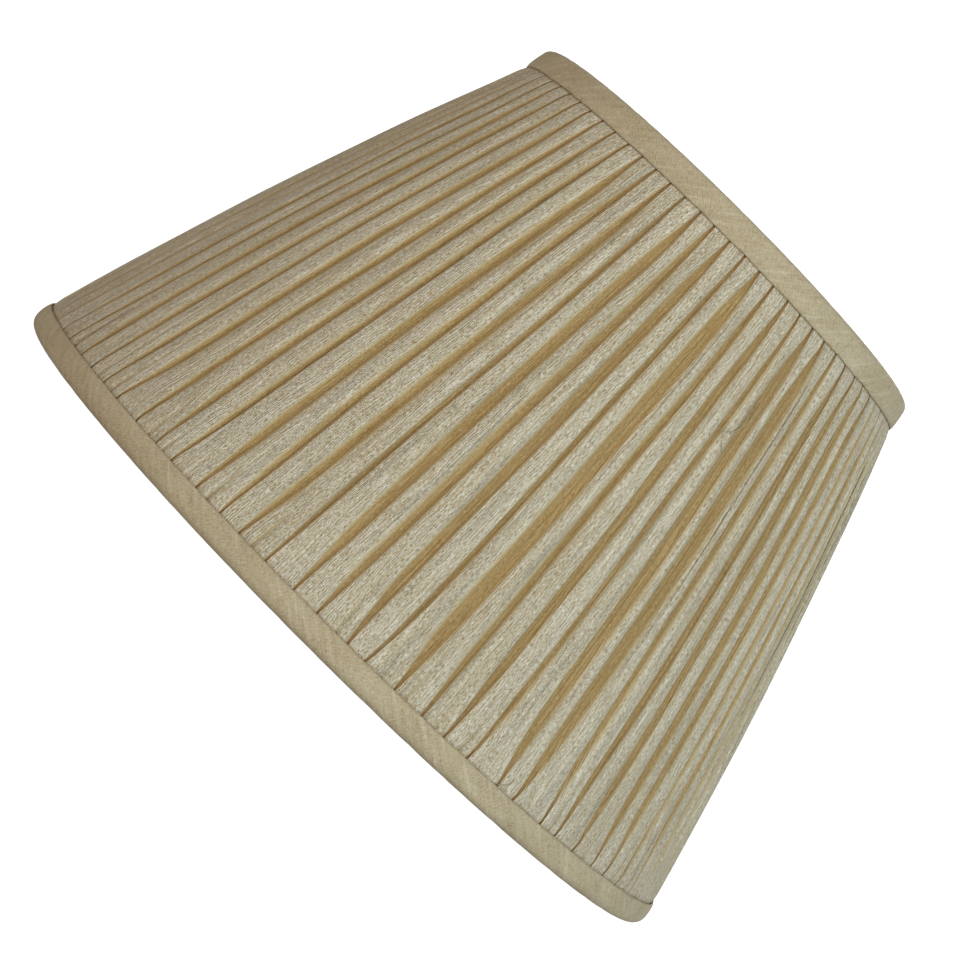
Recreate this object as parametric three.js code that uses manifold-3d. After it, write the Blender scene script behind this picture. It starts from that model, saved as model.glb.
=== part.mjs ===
// A pleated, lined lamp shade on a wire frame, with a tilting gimbal fitter.
// Millimetres, +Z up. The origin is the centre of the circle that the bottom binding stands on.
import * as THREE from 'three';
import { mergeVertices } from 'three/addons/utils/BufferGeometryUtils.js';
import Module from 'manifold-3d';

const wasm = await Module();
wasm.setup();

// ---- driving sizes -------------------------------------------------------------------------------

// the shade as a whole
const bottomSeamRadius = 150; // pleated cover, where the bottom binding starts
const topSeamRadius = 91; // pleated cover, where the top binding starts
const shadeHeight = 197; // over both bindings
const sideBow = 2.5; // how far the cover's side bows out of the straight line, half way up

// the pleated cover
const pleatCount = 82;
const coverPanelCount = 2;
const pleatDepth = 1.4; // from a pleat's rounded top down to the valley beside it, half way up
const pleatDepthAtSeam = 0.6; // the same where the pleats are stitched down
const coverClothThickness = 0.6; // under the deepest part of a pleat
const coverHemThickness = 0.9; // pleats pressed flat under the bindings
const pleatTopShare = 0.56; // how much of the pitch a pleat's top takes, half way up
const pleatTopShareAtSeam = 0.86; // the same where the pleats are stitched down
const coverRowCount = 3; // rows of faces between the seams, for the bow

// the bias-cut bindings
const bottomBandHeight = 9.5;
const topBandHeight = 10;
const bandClothThickness = 0.7;
const bottomBandBulge = 1;
const topBandBulge = 0.6;
const bandInsideHeight = 7; // the turned-in leaf
const bandCornerShare = 0.35; // of a band's width between its leaves, cut off each corner
const bandCornerCut = 0.8; // the corner of a band's inside, as a share of the one outside
const bandShoulder = { inwards: 0.2, up: 0.35 }; // a point on the outer corner, in corners
const bandBulgeAtCorner = 0.8; // the share of the bulge that is reached at the corner
const bandWidestShare = 0.6; // how far up a band it bulges most

// the lining
const liningThickness = 0.5;
const liningRowCount = 2;
const liningHalfCount = 2;

// the wire frame
const ringWireRadius = 1.5;
const strutWireRadius = 1.2;
const strutCount = 6;
const tapeThickness = 0.4;

// the gimbal
const fitterBoreRadius = 21;
const fitterBandWidth = 5;
const fitterPlateThickness = 1.2;
const fitterRimDepth = 3;
const fitterDrop = 32; // pivot axis below the top edge
const pivotAboveFitter = 6; // pivot axis above the fitter ring's top face
const earWidth = 9;
const earThickness = 1.2;
const armWireRadius = 1.5;
const armEyeRadius = 4;
const armEyeThickness = 1.5;
const armNeckWidth = 4;
const armNeckHeight = 6.5;
const armStartInset = 0.1; // how far in of the top ring an arm hangs, in wire diameters
const armPassBend = [[0.7, 0.5], [2.2, 1]]; // in and down where it passes the lining, in wire diameters
const armEyeBend = [[2.4, 1.6], [0.5, 0.9]]; // out and up where it meets its neck, in wire diameters
const rivetShankRadius = 1.5;
const rivetHeadRadius = 2.8;
const rivetHeadThickness = 1.1;
const rivetClearance = 0.2;

// the neateners, which cover the slits that the arms pass through
const neatenerWidth = 15;
const neatenerHeight = 11;
const neatenerThickness = 0.6;

// gaps and fineness
const gap = 0.3; // between pieces that lie against each other
const aroundSegments = 60;
const wireSides = 6;
const armSides = 8;
const armSteps = 14;
const fitterSegments = 40;
const smallRoundSegments = 16;
const cutOverrun = 10; // how far a cutter runs past what it cuts

// ---- derived sizes -------------------------------------------------------------------------------

const bottomSeamHeight = bottomBandHeight;
const topSeamHeight = shadeHeight - topBandHeight;
const tapeOuterRadius = ringWireRadius + gap + tapeThickness;
const ringInset = bandClothThickness + gap + tapeOuterRadius; // ring's centre from the shade's edge
const bottomRingHeight = ringInset;
const topRingHeight = shadeHeight - ringInset;
const ringInsideCover = coverHemThickness + gap + tapeOuterRadius;
const bottomRingRadius = bottomSeamRadius - ringInsideCover;
const topRingRadius = topSeamRadius - ringInsideCover;
const liningInsideRing = tapeOuterRadius + gap;
const pivotHeight = shadeHeight - fitterDrop;
const fitterTop = pivotHeight - pivotAboveFitter;
const fitterOuterRadius = fitterBoreRadius + fitterBandWidth;
const earInnerX = fitterOuterRadius + gap;
const earOuterX = earInnerX + earThickness;
const armEyeInnerX = earOuterX + gap;
const armEyeCentreX = armEyeInnerX + armEyeThickness / 2;
const armEyeOuterX = armEyeInnerX + armEyeThickness;
const rivetHoleRadius = rivetShankRadius + rivetClearance;
const wireEndGap = ringWireRadius + gap; // a strut's or arm's end from the ring's centre line

const facetSag = bottomSeamRadius * (1 - Math.cos(Math.PI / pleatCount)); // of the round cover's flat faces

const bottomRing = { radius: bottomRingRadius, height: bottomRingHeight };
const topRing = { radius: topRingRadius, height: topRingHeight };

// ---- materials -----------------------------------------------------------------------------------

const finish = (color, roughness, metalness = 0) =>
  new THREE.MeshStandardMaterial({ color, roughness, metalness });

const pleatedCloth = finish(0xb9ab8a, 0.85);
const bindingCloth = finish(0xb5a587, 0.85);
const liningCloth = finish(0xe6dcc6, 0.8);
const cottonTape = finish(0xe9e2d0, 0.9);
const paintedWire = finish(0xe4dfd2, 0.45);
const platedSteel = finish(0xb8b4aa, 0.35, 1);

// ---- helpers -------------------------------------------------------------------------------------

const fullTurn = Math.PI * 2;

/** Points on a cylinder of coordinates: radius and angle about Z, and height. */
function polar(radius, angle, height) {
  return new THREE.Vector3(radius * Math.cos(angle), radius * Math.sin(angle), height);
}

/** A closed mesh as a solid that can be cut and joined. */
function toSolid(geometry) {
  const bare = geometry.clone();
  bare.deleteAttribute('normal');
  bare.deleteAttribute('uv');
  const merged = mergeVertices(bare);
  return new wasm.Manifold(
    new wasm.Mesh({
      numProp: 3,
      vertProperties: new Float32Array(merged.attributes.position.array),
      triVerts: new Uint32Array(merged.index.array),
    }),
  );
}

/** A solid as a mesh again. */
function toGeometry(solid) {
  const mesh = solid.getMesh();
  const geometry = new THREE.BufferGeometry();
  geometry.setAttribute('position', new THREE.BufferAttribute(mesh.vertProperties, 3));
  geometry.setIndex(new THREE.BufferAttribute(mesh.triVerts, 1));
  geometry.computeVertexNormals();
  return geometry;
}

/** Turns a profile of [radius, height] points, listed anticlockwise, about Z. */
function turned(profile, segments = aroundSegments) {
  const points = [...profile, profile[0]].map(([radius, height]) => new THREE.Vector2(radius, height));
  return new THREE.LatheGeometry(points, segments).rotateX(Math.PI / 2);
}

/** A mesh from a flat list of coordinates and a list of corner numbers. */
function meshOf(positions, index) {
  const geometry = new THREE.BufferGeometry();
  geometry.setAttribute('position', new THREE.Float32BufferAttribute(positions, 3));
  geometry.setIndex(index);
  geometry.computeVertexNormals();
  return geometry;
}

/** A closed skin over rings of points that all have the same count, with a flat cap on each end. */
function loft(rings) {
  const sides = rings[0].length;
  const last = rings.length - 1;
  const index = [];
  for (let ring = 0; ring < last; ring += 1) {
    for (let side = 0; side < sides; side += 1) {
      const here = ring * sides + side;
      const beside = ring * sides + ((side + 1) % sides);
      index.push(here, beside, beside + sides);
      index.push(here, beside + sides, here + sides);
    }
  }
  for (let side = 1; side < sides - 1; side += 1) {
    index.push(0, side + 1, side);
    index.push(last * sides, last * sides + side, last * sides + side + 1);
  }
  const positions = rings.flatMap((ring) => ring.flatMap((point) => point.toArray()));
  return meshOf(positions, index);
}

/** A wire that follows points in one upright plane, mitred at its bends. Across is that plane's normal. */
function bentWire(points, across, radius, sides) {
  const last = points.length - 1;
  const rings = points.map((point, place) => {
    const before = point.clone().sub(points[Math.max(place - 1, 0)]).normalize();
    const after = points[Math.min(place + 1, last)].clone().sub(point).normalize();
    const along = before.add(after).normalize();
    const mitre = place === 0 || place === last ? 1 : 1 / along.dot(after);
    const outwards = new THREE.Vector3().crossVectors(across, along);
    return Array.from({ length: sides }, (_, side) => {
      const angle = (fullTurn * side) / sides;
      return point.clone()
        .addScaledVector(across, radius * Math.cos(angle))
        .addScaledVector(outwards, -radius * mitre * Math.sin(angle));
    });
  });
  return loft(rings);
}

/** A wire bent to a circle, lying flat. */
function wireCircle(ring, radius) {
  return new THREE.TorusGeometry(ring.radius, radius, wireSides, aroundSegments).translate(0, 0, ring.height);
}

/** A cylinder along X between two places. */
function alongX(radius, from, to, segments = smallRoundSegments) {
  const cylinder = new THREE.CylinderGeometry(radius, radius, to - from, segments);
  return cylinder.rotateZ(-Math.PI / 2).translate((from + to) / 2, 0, 0);
}

/** A box between two corners. */
function boxBetween(low, high) {
  const size = high.map((value, axis) => value - low[axis]);
  const middle = high.map((value, axis) => (value + low[axis]) / 2);
  return new THREE.BoxGeometry(...size).translate(...middle);
}

// ---- the lie of the cover and the lining ---------------------------------------------------------

/** 0 at the lower seam and 1 at the upper one. */
function shareUp(height) {
  return (height - bottomSeamHeight) / (topSeamHeight - bottomSeamHeight);
}

/** How far a height is towards the middle of the side: 0 at both seams, 1 half way. */
function middleShare(height) {
  const share = THREE.MathUtils.clamp(shareUp(height), 0, 1);
  return 4 * share * (1 - share);
}

/** Radius of the tops of the pleats. It stays the same under the bindings. */
function coverRadius(height) {
  const share = THREE.MathUtils.clamp(shareUp(height), 0, 1);
  return THREE.MathUtils.lerp(bottomSeamRadius, topSeamRadius, share) + sideBow * middleShare(height);
}

/** Depth of the valleys at a height between the seams. */
function valleyDepth(height) {
  return THREE.MathUtils.lerp(pleatDepthAtSeam, pleatDepth, middleShare(height));
}

/** Radius of the cover's inside between the seams. */
function coverInsideRadius(height) {
  return coverRadius(height) - valleyDepth(height) - coverClothThickness;
}

/** Height of one of the cover's rows of corners, from the lower seam up. */
function coverRowHeight(row) {
  return THREE.MathUtils.lerp(bottomSeamHeight, topSeamHeight, row / coverRowCount);
}

/** The cover's rows from bottom to top: height, radius of tops, valleys and inside, and a top's share. */
function coverRows() {
  const hem = (ring, radius) => ({
    height: ring.height,
    top: radius,
    valley: radius,
    inside: radius - coverHemThickness,
    topShare: pleatTopShareAtSeam,
  });
  const rows = [hem(bottomRing, bottomSeamRadius)];
  for (let row = 0; row <= coverRowCount; row += 1) {
    const height = coverRowHeight(row);
    const top = coverRadius(height);
    const valley = top - valleyDepth(height);
    const inside = coverInsideRadius(height);
    const topShare = THREE.MathUtils.lerp(pleatTopShareAtSeam, pleatTopShare, middleShare(height));
    rows.push({ height, top, valley, inside, topShare });
  }
  rows.push(hem(topRing, topSeamRadius));
  return rows;
}

/** The lining's rows from bottom to top: height, outside and inside radius. */
function liningRows() {
  const bottom = bottomRingRadius - liningInsideRing;
  const top = topRingRadius - liningInsideRing;
  const row = (height, outside) => ({ height, outside, inside: outside - liningThickness });
  const rows = [row(bottomRingHeight, bottom)];
  for (let step = 0; step <= liningRowCount; step += 1) {
    const share = step / liningRowCount;
    const height = THREE.MathUtils.lerp(bandInsideHeight, shadeHeight - bandInsideHeight, share);
    rows.push(row(height, THREE.MathUtils.lerp(bottom, top, share)));
  }
  rows.push(row(topRingHeight, top));
  return rows;
}

/** Closes a band of cloth that is bent round Z: outer and inner loops of points for each row. */
function bentCloth(outerRows, innerRows) {
  const positions = [];
  const index = [];
  const start = (rows) => rows.map((points) => {
    const first = positions.length / 3;
    points.forEach((point) => positions.push(point.x, point.y, point.z));
    return { first, count: points.length };
  });
  const outer = start(outerRows);
  const inner = start(innerRows);
  const quad = (a, b, c, d) => index.push(a, b, c, a, c, d);
  const last = outer.length - 1;
  const sheetFaces = (rows, outwards) => {
    for (let row = 0; row < last; row += 1) {
      for (let column = 0; column < rows[row].count - 1; column += 1) {
        const below = rows[row].first + column;
        const above = rows[row + 1].first + column;
        if (outwards) quad(below, below + 1, above + 1, above);
        else quad(below, above, above + 1, below + 1);
      }
    }
  };
  sheetFaces(outer, true);
  sheetFaces(inner, false);
  const perInner = (outer[0].count - 1) / (inner[0].count - 1);
  const edgeFaces = (row, upwards) => {
    for (let column = 0; column < inner[row].count - 1; column += 1) {
      const a = inner[row].first + column;
      const from = outer[row].first + column * perInner;
      const fan = [a + 1];
      for (let step = perInner; step >= 0; step -= 1) fan.push(from + step);
      fan.push(a);
      for (let corner = 1; corner < fan.length - 1; corner += 1) {
        if (upwards) index.push(fan[0], fan[corner + 1], fan[corner]);
        else index.push(fan[0], fan[corner], fan[corner + 1]);
      }
    }
  };
  edgeFaces(0, false);
  edgeFaces(last, true);
  for (let row = 0; row < last; row += 1) {
    quad(inner[row].first, outer[row].first, outer[row + 1].first, inner[row + 1].first);
    const end = (ring) => ring.first + ring.count - 1;
    quad(end(outer[row]), end(inner[row]), end(inner[row + 1]), end(outer[row + 1]));
  }
  return meshOf(positions, index);
}

// ---- the pieces ----------------------------------------------------------------------------------

/** One panel of pleats, each a flat-topped ridge with a valley on both sides. */
function coverPanel(panel) {
  const pleatsInPanel = pleatCount / coverPanelCount;
  const pitch = fullTurn / pleatCount;
  const seamAngle = gap / 2 / topSeamRadius;
  const start = (fullTurn * panel) / coverPanelCount;
  const end = start + fullTurn / coverPanelCount;
  const kept = (angle) => THREE.MathUtils.clamp(angle, start + seamAngle, end - seamAngle);
  const outer = coverRows().map((row) => {
    const points = [];
    for (let pleat = 0; pleat < pleatsInPanel; pleat += 1) {
      const valley = start + pleat * pitch;
      const halfTop = (row.topShare * pitch) / 2;
      points.push(polar(row.valley, kept(valley), row.height));
      points.push(polar(row.top, valley + pitch / 2 - halfTop, row.height));
      points.push(polar(row.top, valley + pitch / 2 + halfTop, row.height));
    }
    points.push(polar(row.valley, kept(end), row.height));
    return points;
  });
  const inner = coverRows().map((row) => {
    const points = [];
    for (let pleat = 0; pleat <= pleatsInPanel; pleat += 1) {
      points.push(polar(row.inside, kept(start + pleat * pitch), row.height));
    }
    return points;
  });
  return bentCloth(outer, inner);
}

/** Half of the lining, between two opposite seams. */
function liningHalf(half) {
  const steps = aroundSegments / liningHalfCount;
  const seamAngle = gap / 2 / (topRingRadius - liningInsideRing);
  const start = (fullTurn * half) / liningHalfCount + fullTurn / 4;
  const end = start + fullTurn / liningHalfCount;
  const loop = (radius, height) => {
    const points = [];
    for (let step = 0; step <= steps; step += 1) {
      const angle = THREE.MathUtils.lerp(start, end, step / steps);
      points.push(polar(radius, THREE.MathUtils.clamp(angle, start + seamAngle, end - seamAngle), height));
    }
    return points;
  };
  const outer = liningRows().map((row) => loop(row.outside, row.height));
  const inner = liningRows().map((row) => loop(row.inside, row.height));
  return bentCloth(outer, inner);
}

/**
 * A binding folded round a ring and the cloth edges on it, as [radius, distance from the shade's edge]
 * points listed anticlockwise. The face that lies on the shade's edge is flat.
 */
function bandProfile(seamRadius, bandHeight, bulge) {
  const outerFace = seamRadius + gap;
  const innerFace = seamRadius - ringInsideCover - liningInsideRing - liningThickness - gap;
  const corner = (outerFace - innerFace) * bandCornerShare;
  const skin = bandClothThickness;
  const cutIn = corner * bandCornerCut;
  return [
    [outerFace - corner, 0],
    [outerFace + skin - corner * bandShoulder.inwards, corner * bandShoulder.up],
    [outerFace + skin + bulge * bandBulgeAtCorner, corner],
    [outerFace + skin + bulge, bandHeight * bandWidestShare],
    [outerFace + skin, bandHeight],
    [outerFace, bandHeight],
    [outerFace, skin + cutIn],
    [outerFace - cutIn, skin],
    [innerFace + cutIn, skin],
    [innerFace, skin + cutIn],
    [innerFace, bandInsideHeight],
    [innerFace - skin, bandInsideHeight],
    [innerFace - skin, corner],
    [innerFace + corner, 0],
  ];
}

function bottomBand() {
  return turned(bandProfile(bottomSeamRadius, bottomBandHeight, bottomBandBulge));
}

function topBand() {
  const profile = bandProfile(topSeamRadius, topBandHeight, topBandBulge);
  const upsideDown = profile.map(([radius, fromEdge]) => [radius, shadeHeight - fromEdge]);
  return turned(upsideDown.reverse());
}

/** The points that a strut follows inside the cover, to endGap from each ring's line. */
function strutPoints(angle, endGap) {
  const inCover = (height) => coverInsideRadius(height) - facetSag - gap - strutWireRadius;
  const points = [polar(bottomRingRadius, angle, bottomRingHeight + endGap)];
  for (let row = 0; row <= coverRowCount; row += 1) {
    const height = coverRowHeight(row);
    points.push(polar(inCover(height), angle, height));
  }
  points.push(polar(topRingRadius, angle, topRingHeight - endGap));
  return points;
}

function strut(number, radius, endGap) {
  const angle = (fullTurn * (number + 0.5)) / strutCount;
  return bentWire(strutPoints(angle, endGap), polar(1, angle + fullTurn / 4, 0), radius, wireSides);
}

/** The points that the +X gimbal arm follows, from endGap under the top ring's line to its eye. */
function armPoints(endGap) {
  const startHeight = topRingHeight - endGap;
  const passHeight = shadeHeight - bandInsideHeight - gap - armWireRadius;
  const neckTop = pivotHeight + armNeckHeight;
  const bend = armWireRadius * 2;
  const points = [
    [topRingRadius, startHeight],
    [topRingRadius - bend * armStartInset, topRingHeight - wireEndGap - bend],
    ...armPassBend.map(([inwards, down]) => [topRingRadius - bend * inwards, passHeight - bend * down]),
    ...armEyeBend.map(([out, up]) => [armEyeCentreX + bend * out, neckTop + bend * up]),
    [armEyeCentreX, neckTop],
    [armEyeCentreX, neckTop - bend / 2],
  ];
  const curve = new THREE.CatmullRomCurve3(points.map(([x, z]) => new THREE.Vector3(x, 0, z)));
  curve.curveType = 'centripetal';
  return curve.getPoints(armSteps);
}

function armWire(radius, endGap) {
  return bentWire(armPoints(endGap), new THREE.Vector3(0, 1, 0), radius, armSides);
}

/** The arm on the +X side: a bent wire, flattened at its lower end to an eye for the rivet. */
function gimbalArm() {
  const eye = alongX(armEyeRadius, armEyeInnerX, armEyeOuterX).translate(0, 0, pivotHeight);
  const neck = boxBetween(
    [armEyeInnerX, -armNeckWidth / 2, pivotHeight],
    [armEyeOuterX, armNeckWidth / 2, pivotHeight + armNeckHeight],
  );
  const reach = cutOverrun;
  const hole = alongX(rivetHoleRadius, armEyeInnerX - reach, armEyeOuterX + reach);
  return toSolid(armWire(armWireRadius, wireEndGap))
    .add(toSolid(eye))
    .add(toSolid(neck))
    .subtract(toSolid(hole.translate(0, 0, pivotHeight)));
}

/** The room that the arm takes where it passes the lining, open to the top. */
function armRoom() {
  const halfWidth = armWireRadius + gap;
  const slit = boxBetween(
    [armEyeCentreX, -halfWidth, shadeHeight - bandInsideHeight - armWireRadius - gap],
    [topRingRadius, halfWidth, shadeHeight],
  );
  return toSolid(armWire(halfWidth, 0)).add(toSolid(slit));
}

/** The same on the -X side. */
function mirrored(solid) {
  return solid.mirror([1, 0, 0]);
}

/** The pressed-steel ring that a lampholder clamps, with two ears for the rivets. */
function fitterRing() {
  const bottom = fitterTop - fitterPlateThickness;
  const rimInner = fitterOuterRadius - fitterPlateThickness;
  const plate = toSolid(turned([
    [fitterBoreRadius, bottom],
    [rimInner, bottom],
    [rimInner, fitterTop - fitterRimDepth],
    [fitterOuterRadius, fitterTop - fitterRimDepth],
    [fitterOuterRadius, fitterTop],
    [fitterBoreRadius, fitterTop],
  ], fitterSegments));
  const halfWidth = earWidth / 2;
  const tab = boxBetween([rimInner, -halfWidth, bottom], [earOuterX, halfWidth, fitterTop]);
  const post = boxBetween([earInnerX, -halfWidth, bottom], [earOuterX, halfWidth, pivotHeight]);
  const cap = alongX(halfWidth, earInnerX, earOuterX).translate(0, 0, pivotHeight);
  const ear = toSolid(tab).add(toSolid(post)).add(toSolid(cap));
  const hole = alongX(rivetHoleRadius, -earOuterX - cutOverrun, earOuterX + cutOverrun);
  return plate
    .add(ear)
    .add(mirrored(ear))
    .subtract(toSolid(hole.translate(0, 0, pivotHeight)));
}

/** A rivet through an ear and an arm's eye, with a head on each side. */
function pivotRivet() {
  const start = earInnerX - gap - rivetHeadThickness;
  const end = armEyeOuterX + gap + rivetHeadThickness;
  const shank = alongX(rivetShankRadius, start, end);
  const innerHead = alongX(rivetHeadRadius, start, start + rivetHeadThickness);
  const outerHead = alongX(rivetHeadRadius, end - rivetHeadThickness, end);
  const solid = toSolid(shank).add(toSolid(innerHead)).add(toSolid(outerHead));
  return solid.translate([0, 0, pivotHeight]);
}

/** Cotton tape bound round a ring, left open where wires meet the ring. */
function ringTape(ring, wires) {
  let tape = toSolid(wireCircle(ring, tapeOuterRadius));
  tape = tape.subtract(toSolid(wireCircle(ring, ringWireRadius + gap)));
  wires.forEach((room) => {
    tape = tape.subtract(room);
  });
  return tape;
}

/** A folded strip on the lining's inside, under the place where the +X arm passes through it. */
function neatener() {
  const rows = liningRows();
  const top = rows[rows.length - 2];
  const below = rows[rows.length - 3];
  const slope = Math.atan2(below.inside - top.inside, top.height - below.height);
  const strip = new THREE.BoxGeometry(neatenerThickness, neatenerWidth, neatenerHeight);
  strip.translate(-neatenerThickness / 2, 0, -neatenerHeight / 2);
  strip.rotateY(-slope);
  const facetSagitta = neatenerWidth ** 2 / 8 / top.inside;
  strip.translate(top.inside - gap - facetSagitta, 0, top.height - gap);
  return toSolid(strip).subtract(armRoom());
}

// ---- the assembly --------------------------------------------------------------------------------

const shade = new THREE.Group();

function addPiece(name, geometry, material, parent = shade) {
  const mesh = new THREE.Mesh(geometry, material);
  mesh.name = name;
  parent.add(mesh);
}

const strutRooms = [];
for (let number = 0; number < strutCount; number += 1) {
  addPiece(`strut_${number + 1}`, strut(number, strutWireRadius, wireEndGap), paintedWire);
  strutRooms.push(toSolid(strut(number, strutWireRadius + gap, 0)));
}

const armRooms = [armRoom(), mirrored(armRoom())];
addPiece('bottom_ring', wireCircle(bottomRing, ringWireRadius), paintedWire);
addPiece('top_ring', wireCircle(topRing, ringWireRadius), paintedWire);
addPiece('bottom_ring_tape', toGeometry(ringTape(bottomRing, strutRooms)), cottonTape);
addPiece('top_ring_tape', toGeometry(ringTape(topRing, [...strutRooms, ...armRooms])), cottonTape);

addPiece('gimbal_arm_right', toGeometry(gimbalArm()), paintedWire);
addPiece('gimbal_arm_left', toGeometry(mirrored(gimbalArm())), paintedWire);
addPiece('fitter_ring', toGeometry(fitterRing()), paintedWire);
addPiece('pivot_rivet_right', toGeometry(pivotRivet()), platedSteel);
addPiece('pivot_rivet_left', toGeometry(mirrored(pivotRivet())), platedSteel);

for (let half = 0; half < liningHalfCount; half += 1) {
  let lining = toSolid(liningHalf(half));
  armRooms.forEach((room) => {
    lining = lining.subtract(room);
  });
  addPiece(`lining_${half === 0 ? 'left' : 'right'}`, toGeometry(lining), liningCloth);
}
addPiece('neatener_right', toGeometry(neatener()), liningCloth);
addPiece('neatener_left', toGeometry(mirrored(neatener())), liningCloth);

for (let panel = 0; panel < coverPanelCount; panel += 1) {
  addPiece(`pleated_panel_${panel + 1}`, coverPanel(panel), pleatedCloth);
}
addPiece('bottom_binding', bottomBand(), bindingCloth);
addPiece('top_binding', topBand(), bindingCloth);

export default shade;
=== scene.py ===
"""A pleated, lined lamp shade on a wire frame with a tilting fitter, with its looks.

All sizes are in millimetres until a point goes into a mesh. The shade stands on z = 0 with its axis on Z.
"""

import logging
import math
import random
from dataclasses import dataclass, field
from enum import Enum
from functools import partialmethod, reduce
from operator import add
from typing import Any, Callable, Dict, List, NamedTuple, Optional, Sequence, Tuple, Union

import bmesh
import bpy
from mathutils import Matrix, Vector


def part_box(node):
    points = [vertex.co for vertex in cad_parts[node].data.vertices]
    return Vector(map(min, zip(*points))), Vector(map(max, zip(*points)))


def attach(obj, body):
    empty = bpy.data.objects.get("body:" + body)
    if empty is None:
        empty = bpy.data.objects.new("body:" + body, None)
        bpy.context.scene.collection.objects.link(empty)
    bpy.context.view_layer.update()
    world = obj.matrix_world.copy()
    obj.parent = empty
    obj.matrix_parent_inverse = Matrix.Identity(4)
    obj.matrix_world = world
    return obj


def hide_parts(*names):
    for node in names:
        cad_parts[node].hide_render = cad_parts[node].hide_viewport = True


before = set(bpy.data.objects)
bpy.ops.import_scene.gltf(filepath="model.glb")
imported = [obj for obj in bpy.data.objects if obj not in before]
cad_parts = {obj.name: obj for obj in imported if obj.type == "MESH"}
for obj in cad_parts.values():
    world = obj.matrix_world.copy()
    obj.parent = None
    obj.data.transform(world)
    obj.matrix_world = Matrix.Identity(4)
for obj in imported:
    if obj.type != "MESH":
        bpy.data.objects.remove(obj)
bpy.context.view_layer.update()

log = logging.getLogger("lamp_shade")

MM = 0.001
FULL_TURN = 2 * math.pi
WAVE_RATES = (0.6, 1.8)
WAVE_SIZES = (0.4, 1.0)
TINY = 0.01

Colour = Tuple[float, float, float]
Line = Callable[[float], float]


# ---- small sums ----------------------------------------------------------------------------------


def lerp(start: float, end: float, share: float) -> float:
    """The value that is `share` of the way from start to end."""
    return start + (end - start) * share


def clamp(value: float, low: float = 0.0, high: float = 1.0) -> float:
    """The value, kept between low and high."""
    return max(low, min(high, value))


def hump(distance: float, reach: float) -> float:
    """1 at no distance, and falling smoothly to next to nothing at twice the reach."""
    return math.exp(-((distance / reach) ** 2))


def angle_from(middle: float, angle: float) -> float:
    """How far an angle is from another one, the short way round."""
    return (angle - middle + math.pi) % FULL_TURN - math.pi


def running_lengths(points: Sequence[Sequence[float]]) -> List[float]:
    """How far along a line each of its points is, by the first two numbers of each point."""
    run = [0.0]
    for before, after in zip(points, points[1:]):
        run.append(run[-1] + math.hypot(after[0] - before[0], after[1] - before[1]))
    return run


def polar(radius: float, angle: float, height: float) -> Vector:
    """A point in metres from a radius and height in millimetres and an angle about Z."""
    return Vector((radius * math.cos(angle), radius * math.sin(angle), height)) * MM


def screen_colour(red: int, green: int, blue: int) -> Colour:
    """A scene-linear colour from the numbers that a colour chart gives."""
    curve_start, slope, offset, gain, power = 0.04045, 12.92, 0.055, 1.055, 2.4

    def linear(part: int) -> float:
        """One channel."""
        share = part / 255
        return share / slope if share <= curve_start else ((share + offset) / gain) ** power

    return linear(red), linear(green), linear(blue)


def add_waves(waves: List[Tuple[float, float, float]], swing: float) -> Line:
    """The sum of waves, each a rate in radians, a phase and a size, that goes `swing` far at most."""
    gain = swing / sum(size for _, _, size in waves)
    return lambda place: gain * sum(size * math.sin(rate * place + phase) for rate, phase, size in waves)


def wander(rng: random.Random, length: float, swing: float, waves: int = 4) -> Line:
    """A smooth random line.

    Args:
        rng: where the randomness comes from.
        length: about how long one wave is.
        swing: how far the line goes to each side at most.
        waves: how many waves are added up.

    Returns:
        A function of the place along the line.
    """
    return add_waves([
        (FULL_TURN * (rng.uniform(*WAVE_RATES) / length), rng.uniform(0, FULL_TURN), rng.uniform(*WAVE_SIZES))
        for _ in range(waves)
    ], swing)


def ring_wander(rng: random.Random, turns: Tuple[int, int], swing: float, waves: int = 5) -> Line:
    """A smooth random line round a circle, which closes on itself.

    Args:
        rng: where the randomness comes from.
        turns: the fewest and the most times that a wave goes up and down round the circle.
        swing: how far the line goes to each side at most.
        waves: how many waves are added up.

    Returns:
        A function of the angle.
    """
    return add_waves([
        (rng.randint(*turns), rng.uniform(0, FULL_TURN), rng.uniform(*WAVE_SIZES)) for _ in range(waves)
    ], swing)


# ---- shader sums ---------------------------------------------------------------------------------


class Wire:
    """A socket in a material's nodes. Plain arithmetic on it adds Math nodes."""

    def __init__(self, bench: "ShaderBench", socket: bpy.types.NodeSocket) -> None:
        """Keeps the socket and the bench that it belongs to."""
        self.bench = bench
        self.socket = socket

    def _math(self, operation: str, *others: Any) -> "Wire":
        """A Math node fed by this socket and the others."""
        return self.bench.node("ShaderNodeMath", {"operation": operation}, dict(enumerate((self, *others))))

    def __rsub__(self, other: float) -> "Wire":
        """other - self."""
        return self.bench.node("ShaderNodeMath", {"operation": "SUBTRACT"}, {0: other, 1: self})

    __add__ = __radd__ = partialmethod(_math, "ADD")
    __sub__ = partialmethod(_math, "SUBTRACT")
    __mul__ = __rmul__ = partialmethod(_math, "MULTIPLY")
    sine = partialmethod(_math, "SINE")
    size = partialmethod(_math, "ABSOLUTE")

    def step(self, low: float, high: float) -> "Wire":
        """0 below low, 1 above high and a smooth step between. With low above high it falls."""
        return self.bench.node(
            "ShaderNodeMapRange",
            {"interpolation_type": "SMOOTHSTEP", "clamp": True},
            {"Value": self, "From Min": low, "From Max": high},
        )


Feed = Union[Wire, float, Sequence[float]]


class Streaks(NamedTuple):
    """Noise stretched over a place: how fine it is each way, what sets it apart, and its kind."""

    across: float
    along: float
    shift: float = 0.0
    detail: float = 1.0
    roughness: float = 0.5
    through: float = 1.0


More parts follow.
